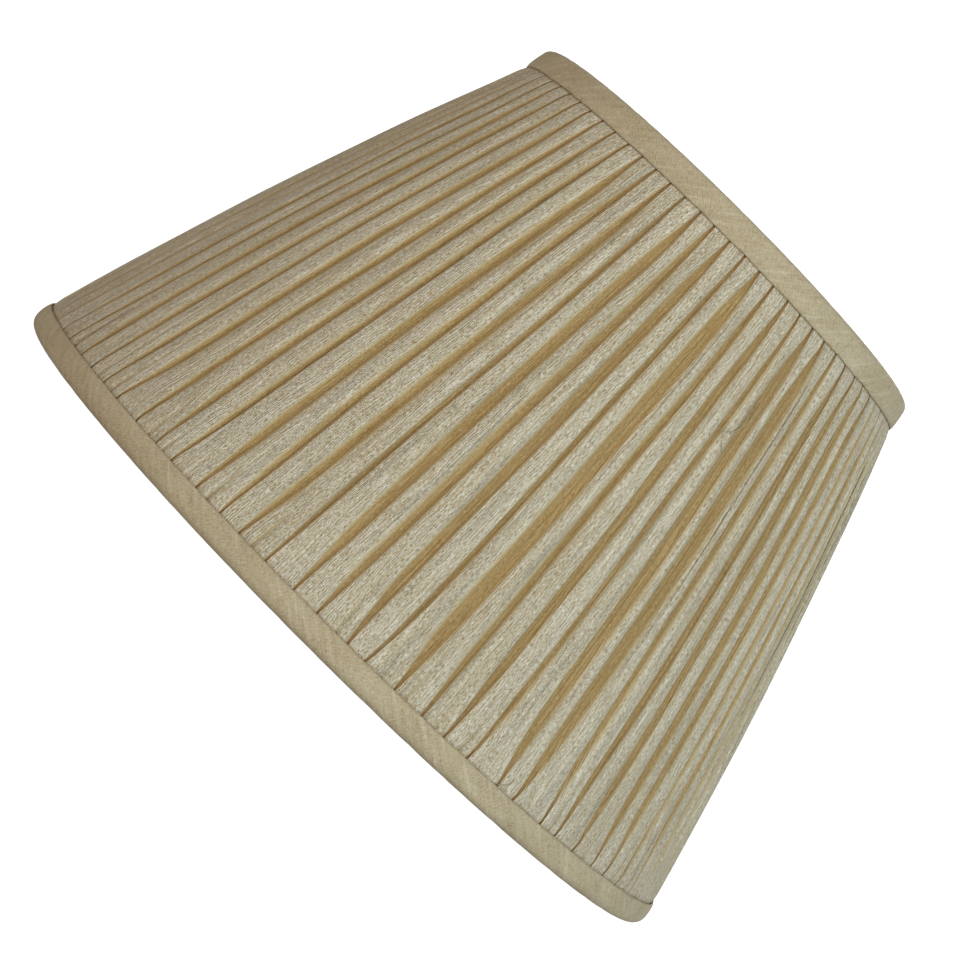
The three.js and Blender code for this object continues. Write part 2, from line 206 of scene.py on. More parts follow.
class ShaderBench:
    """One material and the nodes that are added to it."""

    def __init__(self, name: str) -> None:
        """Starts a material that holds one Principled shader."""
        self.material = bpy.data.materials.new(name)
        self.material.use_nodes = True
        self.tree = self.material.node_tree
        self.shader = self.tree.nodes["Principled BSDF"]

    def node(
        self, kind: str, settings: Optional[Dict[str, Any]] = None, sockets: Optional[Dict[Any, Feed]] = None,
        output: Union[int, str] = 0,
    ) -> Wire:
        """Adds a node.

        Args:
            kind: the node's type.
            settings: its properties, set before its sockets.
            sockets: values or wires for its inputs, by name or number.
            output: which output is wanted.

        Returns:
            The wanted output.
        """
        node = self.tree.nodes.new(kind)
        for name, value in (settings or {}).items():
            setattr(node, name, value)
        for name, value in (sockets or {}).items():
            self.feed(node.inputs[name], value)
        return Wire(self, node.outputs[output])

    def feed(self, socket: bpy.types.NodeSocket, value: Feed) -> None:
        """Links a wire to a socket, or sets the socket to a number or colour."""
        if isinstance(value, Wire):
            self.tree.links.new(value.socket, socket)
        elif hasattr(value, "__len__") and socket.type == "RGBA":
            socket.default_value = (*value[:3], 1.0)
        else:
            socket.default_value = value

    def mix(self, share: Feed, first: Feed, second: Feed) -> Wire:
        """A colour between two colours: all of the first at 0, all of the second at 1."""
        settings = {"data_type": "RGBA", "clamp_factor": True}
        return self.node("ShaderNodeMix", settings, {0: share, 6: first, 7: second}, output=2)

    def mark(self, name: str) -> Wire:
        """A number that the mesh carries at each of its points."""
        return self.node("ShaderNodeAttribute", {"attribute_name": name}, output="Fac")

    def cloth_place(self) -> Wire:
        """Where a point is on its flat piece of cloth, in millimetres."""
        return self.node("ShaderNodeUVMap", {"uv_map": ClothGrid.UV_NAME})

    def object_place(self) -> Wire:
        """Where a point is on the object, in metres."""
        return self.node("ShaderNodeTexCoord", output="Object")

    def noise(self, place: Wire, detail: float, roughness: float, scale: float = 1.0) -> Wire:
        """Smooth noise, about 0.5 on average."""
        sockets = {"Vector": place, "Scale": scale, "Detail": detail, "Roughness": roughness}
        return self.node("ShaderNodeTexNoise", {}, sockets)

    def streaks(self, place: Wire, kind: Streaks, turn: float = 0.0) -> Wire:
        """Stretched noise, on a place that is first turned about Z by degrees."""
        turned = self.node("ShaderNodeMapping", {}, {
            "Vector": place, "Location": (kind.shift, kind.shift, 0.0),
            "Rotation": (0.0, 0.0, math.radians(turn)),
        })
        scale = (kind.across, kind.along, kind.through)
        stretched = self.node("ShaderNodeMapping", {}, {"Vector": turned, "Scale": scale})
        return self.noise(stretched, kind.detail, kind.roughness)

    @staticmethod
    def add_up(*parts: Tuple[Wire, float, float, Feed]) -> Wire:
        """Adds up patterns.

        Args:
            parts: for each pattern its wire, where it starts to count, where it counts in full, and
                how much it adds there.

        Returns:
            The sum.
        """
        return reduce(add, (pattern.step(start, full) * weight for pattern, start, full, weight in parts))

    def bump(self, height: Wire, distance: float, strength: float = 1.0) -> Wire:
        """A normal from a height. The distance is in millimetres."""
        sockets = {"Height": height, "Distance": distance * MM, "Strength": strength}
        return self.node("ShaderNodeBump", {}, sockets)

    def dress(
        self, colour: Feed, roughness: Feed, normal: Optional[Wire] = None, **constants: Any,
    ) -> bpy.types.Material:
        """Feeds the shader.

        Args:
            colour: the base colour.
            roughness: the roughness.
            normal: the bumped normal, where there is one.
            constants: what is the same all over, by the shader's socket name with _ for a space.

        Returns:
            The finished material.
        """
        self.feed(self.shader.inputs["Base Color"], colour)
        self.feed(self.shader.inputs["Roughness"], roughness)
        if normal is not None:
            self.feed(self.shader.inputs["Normal"], normal)
        for name, value in constants.items():
            self.shader.inputs[name.replace("_", " ")].default_value = value
        return self.material


# ---- finishes ------------------------------------------------------------------------------------


@dataclass(frozen=True)
class PleatedClothFinish:
    """A dry, slubby cloth whose threads run up the pleats. Golden shade is painted between the pleats, a glow of light
    through the cloth is painted along their edges, and shadow is painted in the slits beside the bindings.
    """

    top: Colour = screen_colour(222, 213, 190)
    top_dark: Colour = screen_colour(176, 158, 122)
    top_light: Colour = screen_colour(248, 247, 240)
    # Painted glow of light through the cloth at the pleats' edges.
    rim: Colour = screen_colour(208, 188, 142)
    # The next two colours are painted shade in the gaps between the pleats, golden like light bounced about inside the
    # cloth.
    valley: Colour = screen_colour(184, 154, 102)
    valley_shade_dark: Colour = screen_colour(152, 120, 70)
    # Painted shadow in the slits beside the bindings.
    slit: Colour = screen_colour(150, 110, 60)
    pinhole: Colour = screen_colour(98, 76, 46)
    thread: Streaks = Streaks(2.1, 0.16)
    dash: Streaks = Streaks(2.5, 0.75, 53.0)
    group: Streaks = Streaks(0.55, 0.014, 31.0, detail=2.0)
    drift: Streaks = Streaks(0.22, 0.02, 67.0)
    slub: Streaks = Streaks(0.8, 0.05, 7.0)
    grain: Streaks = Streaks(3.0, 2.4, 11.0, roughness=0.7)
    tone: Streaks = Streaks(0.05, 0.012, 91.0, detail=2.0)
    rib_pitch: float = 0.78
    rib_drift: float = 60.0
    bump_height: float = 0.6

    def make(self, name: str) -> bpy.types.Material:
        """The finished material, under a name."""
        bench = ShaderBench(name)
        place = bench.cloth_place()
        kinds = (self.thread, self.dash, self.group, self.drift, self.slub, self.grain, self.tone)
        thread, dash, group, drift, slub, grain, tone = (bench.streaks(place, kind) for kind in kinds)
        across = bench.node("ShaderNodeSeparateXYZ", {}, {"Vector": place})
        rib = (across * (FULL_TURN / self.rib_pitch) + drift * self.rib_drift).sine() * 0.5 + 0.5
        ribbed = group.step(0.4, 0.6) * 0.6 + 0.4
        dark = bench.add_up(
            (thread, 0.52, 0.34, 0.42), (group, 0.54, 0.36, 0.2), (tone, 0.6, 0.35, 0.2),
            (dash, 0.5, 0.34, 0.45), (grain, 0.5, 0.34, 0.4), (rib, 0.55, 0.1, ribbed * 0.4),
        )
        light = bench.add_up(
            (dash, 0.52, 0.68, 0.6), (slub, 0.6, 0.72, 0.3), (grain, 0.52, 0.66, 0.4),
            (rib, 0.6, 1.0, ribbed * 0.2),
        )
        hole = dash.step(0.36, 0.27) * (group.step(0.62, 0.4) * 0.7 + 0.3)
        valley, seam = bench.mark("valley"), bench.mark("seam")
        openness = 1.0 - valley.step(0.15, 0.85)
        # Painted shade for the valley floors, with some of the painted edge glow mixed in by the light streaks.
        depth = bench.mix(dark * 0.85, self.valley, self.valley_shade_dark)
        depth = bench.mix(light * 0.6, depth, self.rim)
        colour = bench.mix(dark, self.top, self.top_dark)
        for share, over in (
            (light * (1.0 - dark * 0.5), self.top_light),
            (hole * openness * 0.65, self.pinhole),
            # Painted glow on the pleats' flanks, then painted shade on the valley floors.
            (valley.step(0.0, 0.5) * 0.75, self.rim),
            (valley.step(0.2, 0.9), depth),
            # Painted shadow in the slits near the bindings, and a thin painted shadow line along them.
            (seam * valley.step(0.2, 0.8), self.slit),
            (seam.step(0.84, 1.0) * 0.3, self.slit),
        ):
            colour = bench.mix(share, colour, over)
        relief = thread * 0.35 + rib * ribbed * 0.4 + dash * 0.55 + grain * 0.5 + slub.step(0.58, 0.74) * 0.25
        normal = bench.bump(relief * (openness * 0.5 + 0.5), self.bump_height)
        roughness = 0.74 - light * 0.12
        return bench.dress(
            colour, roughness, normal, Sheen_Weight=0.1, Sheen_Roughness=0.45, Specular_IOR_Level=0.3)


@dataclass(frozen=True)
class BindingClothFinish:
    """The same sort of cloth cut on the bias and pressed smooth."""

    base: Colour = screen_colour(198, 184, 155)
    dark: Colour = screen_colour(164, 146, 112)
    light: Colour = screen_colour(228, 220, 198)
    # crease: the dark bias join, which the strip has, and painted shade along both hems.
    crease: Colour = screen_colour(150, 128, 90)
    warp: Streaks = Streaks(0.35, 2.4)
    weft: Streaks = Streaks(2.4, 0.5, 17.0)
    rib: Streaks = Streaks(0.05, 0.62, 71.0)
    grain: Streaks = Streaks(2.6, 2.6, 5.0, roughness=0.7)
    tone: Streaks = Streaks(0.05, 0.12, 37.0, detail=2.0)
    bias_degrees: float = 38.0
    bump_height: float = 0.3

    def make(self, name: str) -> bpy.types.Material:
        """The finished material, under a name."""
        bench = ShaderBench(name)
        place = bench.cloth_place()
        threads = (self.warp, self.weft, self.rib)
        warp, weft, rib = (bench.streaks(place, kind, -self.bias_degrees) for kind in threads)
        grain, tone = (bench.streaks(place, kind) for kind in (self.grain, self.tone))
        join, edge = bench.mark("join").size(), bench.mark("hem")
        dark = bench.add_up(
            (grain, 0.5, 0.34, 0.3), (warp, 0.5, 0.32, 0.35), (weft, 0.5, 0.32, 0.35),
            (rib, 0.46, 0.3, 0.22), (tone, 0.6, 0.4, 0.2),
        )
        light = bench.add_up((grain, 0.53, 0.7, 0.3), (weft, 0.54, 0.72, 0.3), (rib, 0.56, 0.72, 0.25))
        colour = bench.mix(dark, self.base, self.dark)
        colour = bench.mix(light, colour, self.light)
        # Darkens the bias join, a real seam, and paints shade along both hems.
        colour = bench.mix(bench.add_up((join, 0.45, 0.1, 0.5), (edge, 0.6, 1.0, 0.25)), colour, self.crease)
        relief = warp * 0.45 + weft * 0.4 + grain * 0.5 + rib * 0.3 - join.step(0.5, 0.1) * 0.7
        normal = bench.bump(relief, self.bump_height)
        return bench.dress(
            colour, 0.78, normal, Sheen_Weight=0.1, Sheen_Roughness=0.5, Specular_IOR_Level=0.3)


@dataclass(frozen=True)
class LiningClothFinish:
    """A thin, close, faintly lustrous lining, with shade painted along its pull lines."""

    base: Colour = screen_colour(232, 222, 200)
    dark: Colour = screen_colour(212, 198, 170)
    across: Streaks = Streaks(0.25, 2.4)
    along: Streaks = Streaks(2.4, 0.25, 13.0)
    pull: Streaks = Streaks(0.11, 0.008, 43.0, detail=3.0)
    bump_height: float = 0.12

    def make(self, name: str) -> bpy.types.Material:
        """The finished material, under a name."""
        bench = ShaderBench(name)
        place = bench.cloth_place()
        across, along, pull = (bench.streaks(place, kind) for kind in (self.across, self.along, self.pull))
        # The pull streaks paint shade along the lining's pull lines.
        dark = bench.add_up((across, 0.62, 0.36, 0.3), (along, 0.62, 0.36, 0.3), (pull, 0.58, 0.38, 0.5))
        colour = bench.mix(dark, self.base, self.dark)
        normal = bench.bump(across * 0.5 + along * 0.5 + pull * 0.6, self.bump_height, 0.8)
        return bench.dress(colour, 0.55 + pull * 0.15, normal, Sheen_Weight=0.15, Sheen_Roughness=0.35)


@dataclass(frozen=True)
class CottonTapeFinish:
    """Narrow woven cotton tape with a selvedge on each side."""

    base: Colour = screen_colour(236, 230, 214)
    dark: Colour = screen_colour(205, 194, 168)
    fuzz: Streaks = Streaks(3.0, 3.0, detail=2.0, roughness=0.7)
    rib_scale: float = 1.4
    rib_distortion: float = 1.5
    bump_height: float = 0.15

    def make(self, name: str) -> bpy.types.Material:
        """The finished material, under a name."""
        bench = ShaderBench(name)
        place = bench.cloth_place()
        rib = bench.node(
            "ShaderNodeTexWave", {"wave_type": "BANDS", "bands_direction": "DIAGONAL"},
            {"Vector": place, "Scale": self.rib_scale, "Distortion": self.rib_distortion, "Detail": 2.0},
        )
        fuzz = bench.streaks(place, self.fuzz)
        dark = bench.add_up((rib, 0.6, 0.1, 0.5), (fuzz, 0.6, 0.35, 0.3)) + bench.mark("hem") * 0.3
        colour = bench.mix(dark, self.base, self.dark)
        normal = bench.bump(rib * 0.7 + fuzz * 0.4, self.bump_height, 0.8)
        return bench.dress(colour, 0.88, normal, Sheen_Weight=0.2, Specular_IOR_Level=0.2)


@dataclass(frozen=True)
class PaintedWireFinish:
    """Off-white enamel over steel wire, thin and yellowed in places, with a few small chips."""

    base: Colour = screen_colour(232, 228, 216)
    aged: Colour = screen_colour(204, 192, 160)
    bare: Colour = screen_colour(120, 104, 84)
    cloud_scale: float = 90.0
    peel_scale: float = 1100.0
    chip_scale: float = 420.0
    bump_height: float = 0.08

    def make(self, name: str) -> bpy.types.Material:
        """The finished material, under a name."""
        bench = ShaderBench(name)
        place = bench.object_place()
        cloud = bench.noise(place, 3.0, 0.6, self.cloud_scale)
        peel = bench.noise(place, 2.0, 0.5, self.peel_scale)
        chip = bench.noise(place, 4.0, 0.7, self.chip_scale).step(0.7, 0.74)
        colour = bench.mix(cloud.step(0.45, 0.75) * 0.6, self.base, self.aged)
        colour = bench.mix(chip, colour, self.bare)
        normal = bench.bump(peel * 0.5 - chip * 0.8, self.bump_height, 0.6)
        roughness = 0.34 + cloud * 0.16 + chip * 0.25
        return bench.dress(colour, roughness, normal, Coat_Roughness=0.2, Specular_IOR_Level=0.5)


@dataclass(frozen=True)
class PlatedSteelFinish:
    """Bright zinc plate, clouded and finely scratched."""

    base: Colour = screen_colour(206, 204, 198)
    cloudy: Colour = screen_colour(172, 168, 158)
    cloud_scale: float = 350.0
    scratch: Streaks = Streaks(300.0, 4000.0, detail=2.0, through=900.0)
    bump_height: float = 0.02

    def make(self, name: str) -> bpy.types.Material:
        """The finished material, under a name."""
        bench = ShaderBench(name)
        place = bench.object_place()
        cloud = bench.noise(place, 3.0, 0.6, self.cloud_scale)
        scratch = bench.streaks(place, self.scratch)
        colour = bench.mix(cloud.step(0.35, 0.7), self.base, self.cloudy)
        normal = bench.bump(scratch, self.bump_height, 0.5)
        return bench.dress(colour, 0.24 + cloud * 0.2 + scratch * 0.1, normal, Metallic=1.0)


@dataclass(frozen=True)
class StudioFloorFinish:
    """A matt pale floor that looks white, throws little light back and is clear from underneath."""

    base: Colour = screen_colour(176, 174, 170)
    patch: Colour = screen_colour(168, 166, 162)
    patch_scale: float = 3.0
    glow: float = 1.0
    bounce: float = 0.16

    def make(self, name: str) -> bpy.types.Material:
        """The finished material, under a name."""
        bench = ShaderBench(name)
        cloud = bench.noise(bench.object_place(), 2.0, 0.5, self.patch_scale)
        seen = bench.node("ShaderNodeLightPath", output="Is Camera Ray")
        light = seen * (1 - self.bounce) + self.bounce
        grey = bench.node("ShaderNodeCombineColor", {}, {0: light, 1: light, 2: light})
        bench.feed(bench.shader.inputs["Emission Color"], grey)
        material = bench.dress(bench.mix(cloud, self.base, self.patch), 0.9, Emission_Strength=self.glow)
        underneath = bench.node("ShaderNodeNewGeometry", output="Backfacing")
        solid, clear = Wire(bench, bench.shader.outputs[0]), bench.node("ShaderNodeBsdfTransparent")
        both = bench.node("ShaderNodeMixShader", {}, {0: underneath, 1: solid, 2: clear})
        bench.feed(bench.tree.nodes["Material Output"].inputs["Surface"], both)
        return material


class Finish(Enum):
    """The finishes, each with the short name that its material is named after."""

    PLEATED_CLOTH = PleatedClothFinish()
    BINDING_CLOTH = BindingClothFinish()
    LINING_CLOTH = LiningClothFinish()
    COTTON_TAPE = CottonTapeFinish()
    PAINTED_WIRE = PaintedWireFinish()
    PLATED_STEEL = PlatedSteelFinish()

    @property
    def slot(self) -> str:
        """The short name of this finish."""
        return self.name.lower()

    def material(self) -> bpy.types.Material:
        """The material, made the first time that it is asked for."""
        return bpy.data.materials.get(f"{self.slot}_finish") or self.value.make(f"{self.slot}_finish")


class Body(Enum):
    """The bodies that pieces ride on."""

    SHADE = "shade"
    FITTER = "fitter"


def place_piece(piece: bpy.types.Object, finish: Finish, body: Body, *nodes: str) -> bpy.types.Object:
    """Dresses a piece, sets what it rides on and hides the CAD nodes that it stands for.

    Args:
        piece: the finished piece.
        finish: its finish.
        body: the body that it moves with.
        nodes: the CAD nodes that it replaces.

    Returns:
        The piece.
    """
    piece.data.materials.clear()
    piece.data.materials.append(finish.material())
    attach(piece, body.value)
    if nodes:
        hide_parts(*nodes)
    triangles = sum(len(face.vertices) - 2 for face in piece.data.polygons)
    log.info("%s: %d triangles, rides on %s", piece.name, triangles, body.value)
    return piece


def add_object(name: str, data: bpy.types.ID) -> bpy.types.Object:
    """Puts a mesh, a light or the camera into the scene."""
    added = bpy.data.objects.new(name, data)
    bpy.context.scene.collection.objects.link(added)
    return added


# ---- cloth in mesh code --------------------------------------------------------------------------


@dataclass
class ClothGrid:
    """Rows of points that make one sheet of cloth, with what its finish reads at each point.

    In a closed grid the last column joins the first, and the UV rows hold one more column than the
    point rows.
    """

    UV_NAME = "cloth"

    name: str
    closed: bool = False
    flipped: bool = False
    points: List[List[Vector]] = field(default_factory=list)
    uvs: List[List[Tuple[float, float]]] = field(default_factory=list)
    marks: Dict[str, List[List[float]]] = field(default_factory=dict)

    def add_row(self, points: List[Vector], uvs: List[Tuple[float, float]], **marks: List[float]) -> None:
        """Adds one row of points, with its UVs and its marks."""
        self.points.append(points)
        self.uvs.append(uvs)
        for name, values in marks.items():
            self.marks.setdefault(name, []).append(values)

    def build(self) -> bpy.types.Object:
        """Makes the mesh object, smooth all over."""
        columns = len(self.points[0])
        spans = columns if self.closed else columns - 1
        faces: List[Tuple[int, ...]] = []
        corner_uvs: List[float] = []
        for row in range(len(self.points) - 1):
            for column in range(spans):
                corners = [(row, column), (row, column + 1), (row + 1, column + 1), (row + 1, column)]
                if self.flipped:
                    corners.reverse()
                faces.append(tuple(r * columns + c % columns for r, c in corners))
                for r, c in corners:
                    corner_uvs.extend(self.uvs[r][c])
        mesh = bpy.data.meshes.new(self.name)
        mesh.from_pydata([point for row in self.points for point in row], [], faces)
        mesh.uv_layers.new(name=self.UV_NAME).data.foreach_set("uv", corner_uvs)
        for name, rows in self.marks.items():
            values = [value for row in rows for value in row]
            mesh.attributes.new(name, "FLOAT", "POINT").data.foreach_set("value", values)
        mesh.polygons.foreach_set("use_smooth", [True] * len(faces))
        mesh.update()
        return add_object(self.name, mesh)


def thicken(piece: bpy.types.Object, thickness: float) -> None:
    """Gives a sheet its thickness in millimetres, under the side that its faces look out of."""
    Bench.modify(piece, "SOLIDIFY", thickness=thickness * MM, offset=-1.0)


def sheet_area(piece: bpy.types.Object) -> float:
    """The area of a piece's faces in square metres."""
    return sum(face.area for face in piece.data.polygons)


# ---- hard pieces with Blender's own operators ----------------------------------------------------


class Bench:
    """Shapes hard pieces with Blender's operators, as by hand."""

    @staticmethod
    def clear() -> None:
        """Leaves edit mode and deselects everything."""
        if bpy.context.object and bpy.context.object.mode != "OBJECT":
            bpy.ops.object.mode_set(mode="OBJECT")
        bpy.ops.object.select_all(action="DESELECT")

    @classmethod
    def pick(cls, *pieces: bpy.types.Object) -> None:
        """Selects only these pieces and makes the first one active."""
        cls.clear()
        for piece in pieces:
            piece.select_set(True)
        bpy.context.view_layer.objects.active = pieces[0]

    @classmethod
    def start(cls, name: str, add: Callable[..., Any], **settings: Any) -> bpy.types.Object:
        """Adds a primitive, names it and opens it in edit mode with all of it selected."""
        cls.clear()
        add(**settings)
        piece = bpy.context.object
        piece.name = piece.data.name = name
        bpy.ops.object.transform_apply(location=True, rotation=True, scale=True)
        bpy.ops.object.mode_set(mode="EDIT")
        bpy.ops.mesh.select_all(action="SELECT")
        return piece

    @staticmethod
    def select(piece: bpy.types.Object, wanted: Callable[[Vector], bool]) -> None:
        """Selects the open piece's vertices whose place, in millimetres, is wanted."""
        bpy.ops.mesh.select_mode(type="VERT")
        bpy.ops.mesh.select_all(action="DESELECT")
        shape = bmesh.from_edit_mesh(piece.data)
        for vertex in shape.verts:
            vertex.select_set(wanted(vertex.co / MM))
        shape.select_flush_mode()
        bmesh.update_edit_mesh(piece.data)

    @staticmethod
    def extrude(move: Sequence[float]) -> None:
        """Extrudes what is selected by a move in millimetres."""
        bpy.ops.mesh.extrude_region_move(TRANSFORM_OT_translate={"value": tuple(part * MM for part in move)})

    @staticmethod
    def resize(factors: Sequence[float], centre: Sequence[float]) -> None:
        """Scales what is selected about a centre in millimetres."""
        bpy.ops.transform.resize(value=tuple(factors), center_override=tuple(part * MM for part in centre))

    @classmethod
    def finish(cls, piece: bpy.types.Object, smooth_degrees: float = 35.0) -> bpy.types.Object:
        """Turns faces outwards, leaves edit mode and smooths all but the sharp edges."""
        if piece.mode != "EDIT":
            cls.pick(piece)
            bpy.ops.object.mode_set(mode="EDIT")
        bpy.ops.mesh.select_all(action="SELECT")
        bpy.ops.mesh.remove_doubles(threshold=TINY * MM)
        bpy.ops.mesh.normals_make_consistent(inside=False)
        bpy.ops.object.mode_set(mode="OBJECT")
        cls.pick(piece)
        bpy.ops.object.shade_smooth_by_angle(angle=math.radians(smooth_degrees))
        return piece

    @classmethod
    def modify(cls, piece: bpy.types.Object, kind: str, **settings: Any) -> None:
        """Adds a modifier and applies it."""
        cls.pick(piece)
        modifier = piece.modifiers.new(kind.lower(), kind)
        for name, value in settings.items():
            setattr(modifier, name, value)
        bpy.ops.object.modifier_apply(modifier=modifier.name)

    @classmethod
    def copy(cls, piece: bpy.types.Object, name: str, change: Matrix) -> bpy.types.Object:
        """A copy with its own mesh, moved by a matrix that may mirror it."""
        mesh = piece.data.copy()
        mesh.name = name
        mesh.transform(change)
        if change.determinant() < 0:
            mesh.flip_normals()
        return add_object(name, mesh)


MIRROR_X = Matrix.Scale(-1, 4, (1, 0, 0))


# ---- the shade's form ----------------------------------------------------------------------------


@dataclass(frozen=True)
class ShadeForm:
    """The sizes that the shade's pieces share."""

    bottom_seam_radius: float = 150.0
    top_seam_radius: float = 91.0
    bottom_seam_height: float = 9.5
    top_seam_height: float = 187.0
    height: float = 197.0
    side_bow: float = 2.5
    bottom_ring_radius: float = 146.6
    top_ring_radius: float = 87.6
    bottom_ring_height: float = 3.2
    top_ring_height: float = 193.8
    hem_height: float = 7.0
    bottom_lining_radius: float = 144.1
    top_lining_radius: float = 85.1
    pivot_height: float = 165.0

    def share_up(self, height: float) -> float:
        """0 at the lower seam and 1 at the upper one."""
        span = self.top_seam_height - self.bottom_seam_height
        return clamp((height - self.bottom_seam_height) / span)

    def cover_radius(self, height: float) -> float:
        """Radius of the tops of the pleats."""
        share = self.share_up(height)
        bow = self.side_bow * 4 * share * (1 - share)
        return lerp(self.bottom_seam_radius, self.top_seam_radius, share) + bow

    def lining_radius(self, height: float) -> float:
        """Radius of the lining's outside, straight between the bindings' turned-in leaves."""
        top = self.height - self.hem_height
        share = clamp((height - self.hem_height) / (top - self.hem_height))
        return lerp(self.bottom_lining_radius, self.top_lining_radius, share)


# ---- the pleated cover ---------------------------------------------------------------------------


class SectionPoint(NamedTuple):
    """A point of a pleat's side, from its rounded shoulder down to the valley."""

    out: float
    down: float
    # mark: how far into the valley a point is; the finish paints shade and a glow of light by it.
    mark: float


@dataclass(frozen=True)
class Valley:
    """The gap between two pleats."""

    shift: Line
    width: Line
    slant: float
    top_slant: float


@dataclass(frozen=True)
class Ridge:
    """What makes one pleat different from the next."""

    lift: Line
    depth: float
    left_flank: float
    right_flank: float
    crease_place: float
    crease_depth: float
    crease_length: float


@dataclass
class PleatedCover:
    """The outer cover: rounded pleats that stand close together and open a little half way up."""

    form: ShadeForm
    seed: int = 19
    pleat_count: int = 82
    panel_count: int = 2
    cloth_per_pleat: float = 14.5
    cut_height: float = 200.0
    row_count: int = 84
    row_crowding: float = 0.6
    valley_width: float = 2.3
    valley_spread: Tuple[float, float] = (0.1, 1.5)
    tight_angle: float = math.radians(-160)
    tight_reach: float = math.radians(54)
    tightness: float = 0.97
    tight_shallowness: float = 0.5
    slit_width: float = 0.3
    floor_share: float = 0.9
    widest_valley_share: float = 0.4
    top_opening: float = 15.0
    top_opening_power: float = 1.4
    bottom_opening: float = 20.0
    bottom_opening_power: float = 1.5
    depth: float = 2.1
    seam_depth: float = 0.65
    depth_rise: float = 22.0
    flank_spread: Tuple[float, float] = (1.0, 3.2)
    seam_flank: float = 0.5
    widest_flank_share: float = 0.42
    puff: float = 0.5
    puff_reach: float = 4.0
    hem_inset: float = 0.1
    top_hem_lean: float = 0.22
    seam_fade: float = 5.0
    hem_margin: float = 0.3
    shift_wave: Tuple[float, float] = (150.0, 0.5)
    sway_length: float = 130.0
    sway_share: float = 0.16
    slant_most: float = 2.0
    slant_fade: float = 17.0
    top_slant_most: float = 0.4
    top_slant_fade: float = 12.0
    lift_wave: Tuple[float, float] = (90.0, 0.2)
    lift_rise: float = 12.0
    creased_share: float = 0.45
    crease_offset: float = 0.3
    crease_depths: Tuple[float, float] = (0.45, 1.0)
    faint_crease_depths: Tuple[float, float] = (0.0, 0.12)
    crease_lengths: Tuple[float, float] = (14.0, 40.0)
    crease_width: float = 0.11
    # A crease's mark makes the finish paint valley shade in its notch.
    crease_mark: float = 0.5
    top_columns: Tuple[float, ...] = (-0.82, -0.56, -0.3, -0.1, 0.0, 0.1, 0.3, 0.56, 0.82)
    side_points: Tuple[SectionPoint, ...] = (
        SectionPoint(1.0, 0.17, 0.0),
        SectionPoint(0.72, 0.26, 0.14),
        SectionPoint(0.47, 0.44, 0.36),
        SectionPoint(0.27, 0.66, 0.62),
        SectionPoint(0.12, 0.86, 0.86),
        SectionPoint(0.0, 0.97, 0.97),
    )
    valleys: List[Valley] = field(default_factory=list)
    ridges: List[Ridge] = field(default_factory=list)

    def __post_init__(self) -> None:
        """Draws how each valley and each pleat differs."""
        rng = random.Random(self.seed)
        for number in range(self.pleat_count):
            angle = FULL_TURN * number / self.pleat_count
            tight = hump(angle_from(self.tight_angle, angle), self.tight_reach)
            width = self.valley_width * (1 - self.tightness * tight) * rng.uniform(*self.valley_spread)
            sway = wander(rng, self.sway_length, self.sway_share * width)
            self.valleys.append(Valley(
                shift=wander(rng, *self.shift_wave),
                width=lambda height, width=width, sway=sway: width + sway(height),
                slant=rng.uniform(-self.slant_most, self.slant_most),
                top_slant=rng.uniform(-self.top_slant_most, self.top_slant_most),
            ))
            creased = rng.random() < self.creased_share
            self.ridges.append(Ridge(
                lift=wander(rng, *self.lift_wave),
                depth=self.depth * (1 - self.tight_shallowness * tight),
                left_flank=rng.uniform(*self.flank_spread),
                right_flank=rng.uniform(*self.flank_spread),
                crease_place=rng.uniform(-self.crease_offset, self.crease_offset),
                crease_depth=rng.uniform(*(self.crease_depths if creased else self.faint_crease_depths)),
                crease_length=rng.uniform(*self.crease_lengths),
            ))

    def heights(self) -> List[float]:
        """The heights of the rows, closer together near the seams, with the hems beyond them."""
        low, high = self.form.bottom_seam_height, self.form.top_seam_height
        shares = [row / self.row_count for row in range(self.row_count + 1)]
        crowded = [share - self.row_crowding * math.sin(FULL_TURN * share) / FULL_TURN for share in shares]
        between = [lerp(low, high, share) for share in crowded]
        bottom, top = self.form.bottom_ring_height, self.form.top_ring_height
        below = [bottom + self.hem_margin, (low + bottom) / 2]
        above = [(high + top) / 2, top - self.hem_margin]
        return below + between + above

    def seam_distances(self, height: float) -> Tuple[float, float]:
        """How far a height is above the lower seam and below the upper one."""
        low, high = self.form.bottom_seam_height, self.form.top_seam_height
        return max(0.0, height - low), max(0.0, high - height)

    def lift_at(self, number: int, height: float) -> float:
        """How far a pleat's top stands out beyond the others at a height."""
        rise = clamp(min(self.seam_distances(height)) / self.lift_rise)
        return self.ridges[number % self.pleat_count].lift(height) * rise

    def valley_at(self, number: int, height: float, pitch: float) -> Tuple[float, float]:
        """How far the middle of a pleat's left valley is shifted, and half of its width, at a height."""
        valley = self.valleys[number % self.pleat_count]
        above, below = self.seam_distances(height)
        opened = (1 - math.exp(-((below / self.top_opening) ** self.top_opening_power))) * (
            1 - math.exp(-((above / self.bottom_opening) ** self.bottom_opening_power)))
        width = min(self.slit_width + valley.width(height) * opened, self.widest_valley_share * pitch)
        slant = valley.slant * math.exp(-above / self.slant_fade)
        slant += valley.top_slant * math.exp(-below / self.top_slant_fade)
        return valley.shift(height) + slant, width / 2

    def side(
        self, edge: float, sign: int, flank: float, half_valley: float, depth: float,
    ) -> List[SectionPoint]:
        """One side of a pleat, from its top to the valley's floor, as place, drop and mark."""
        points = [
            SectionPoint(edge - sign * flank * point.out, depth * point.down, point.mark)
            for point in self.side_points
        ]
        points.append(SectionPoint(edge + sign * half_valley * self.floor_share, depth, 1.0))
        return points

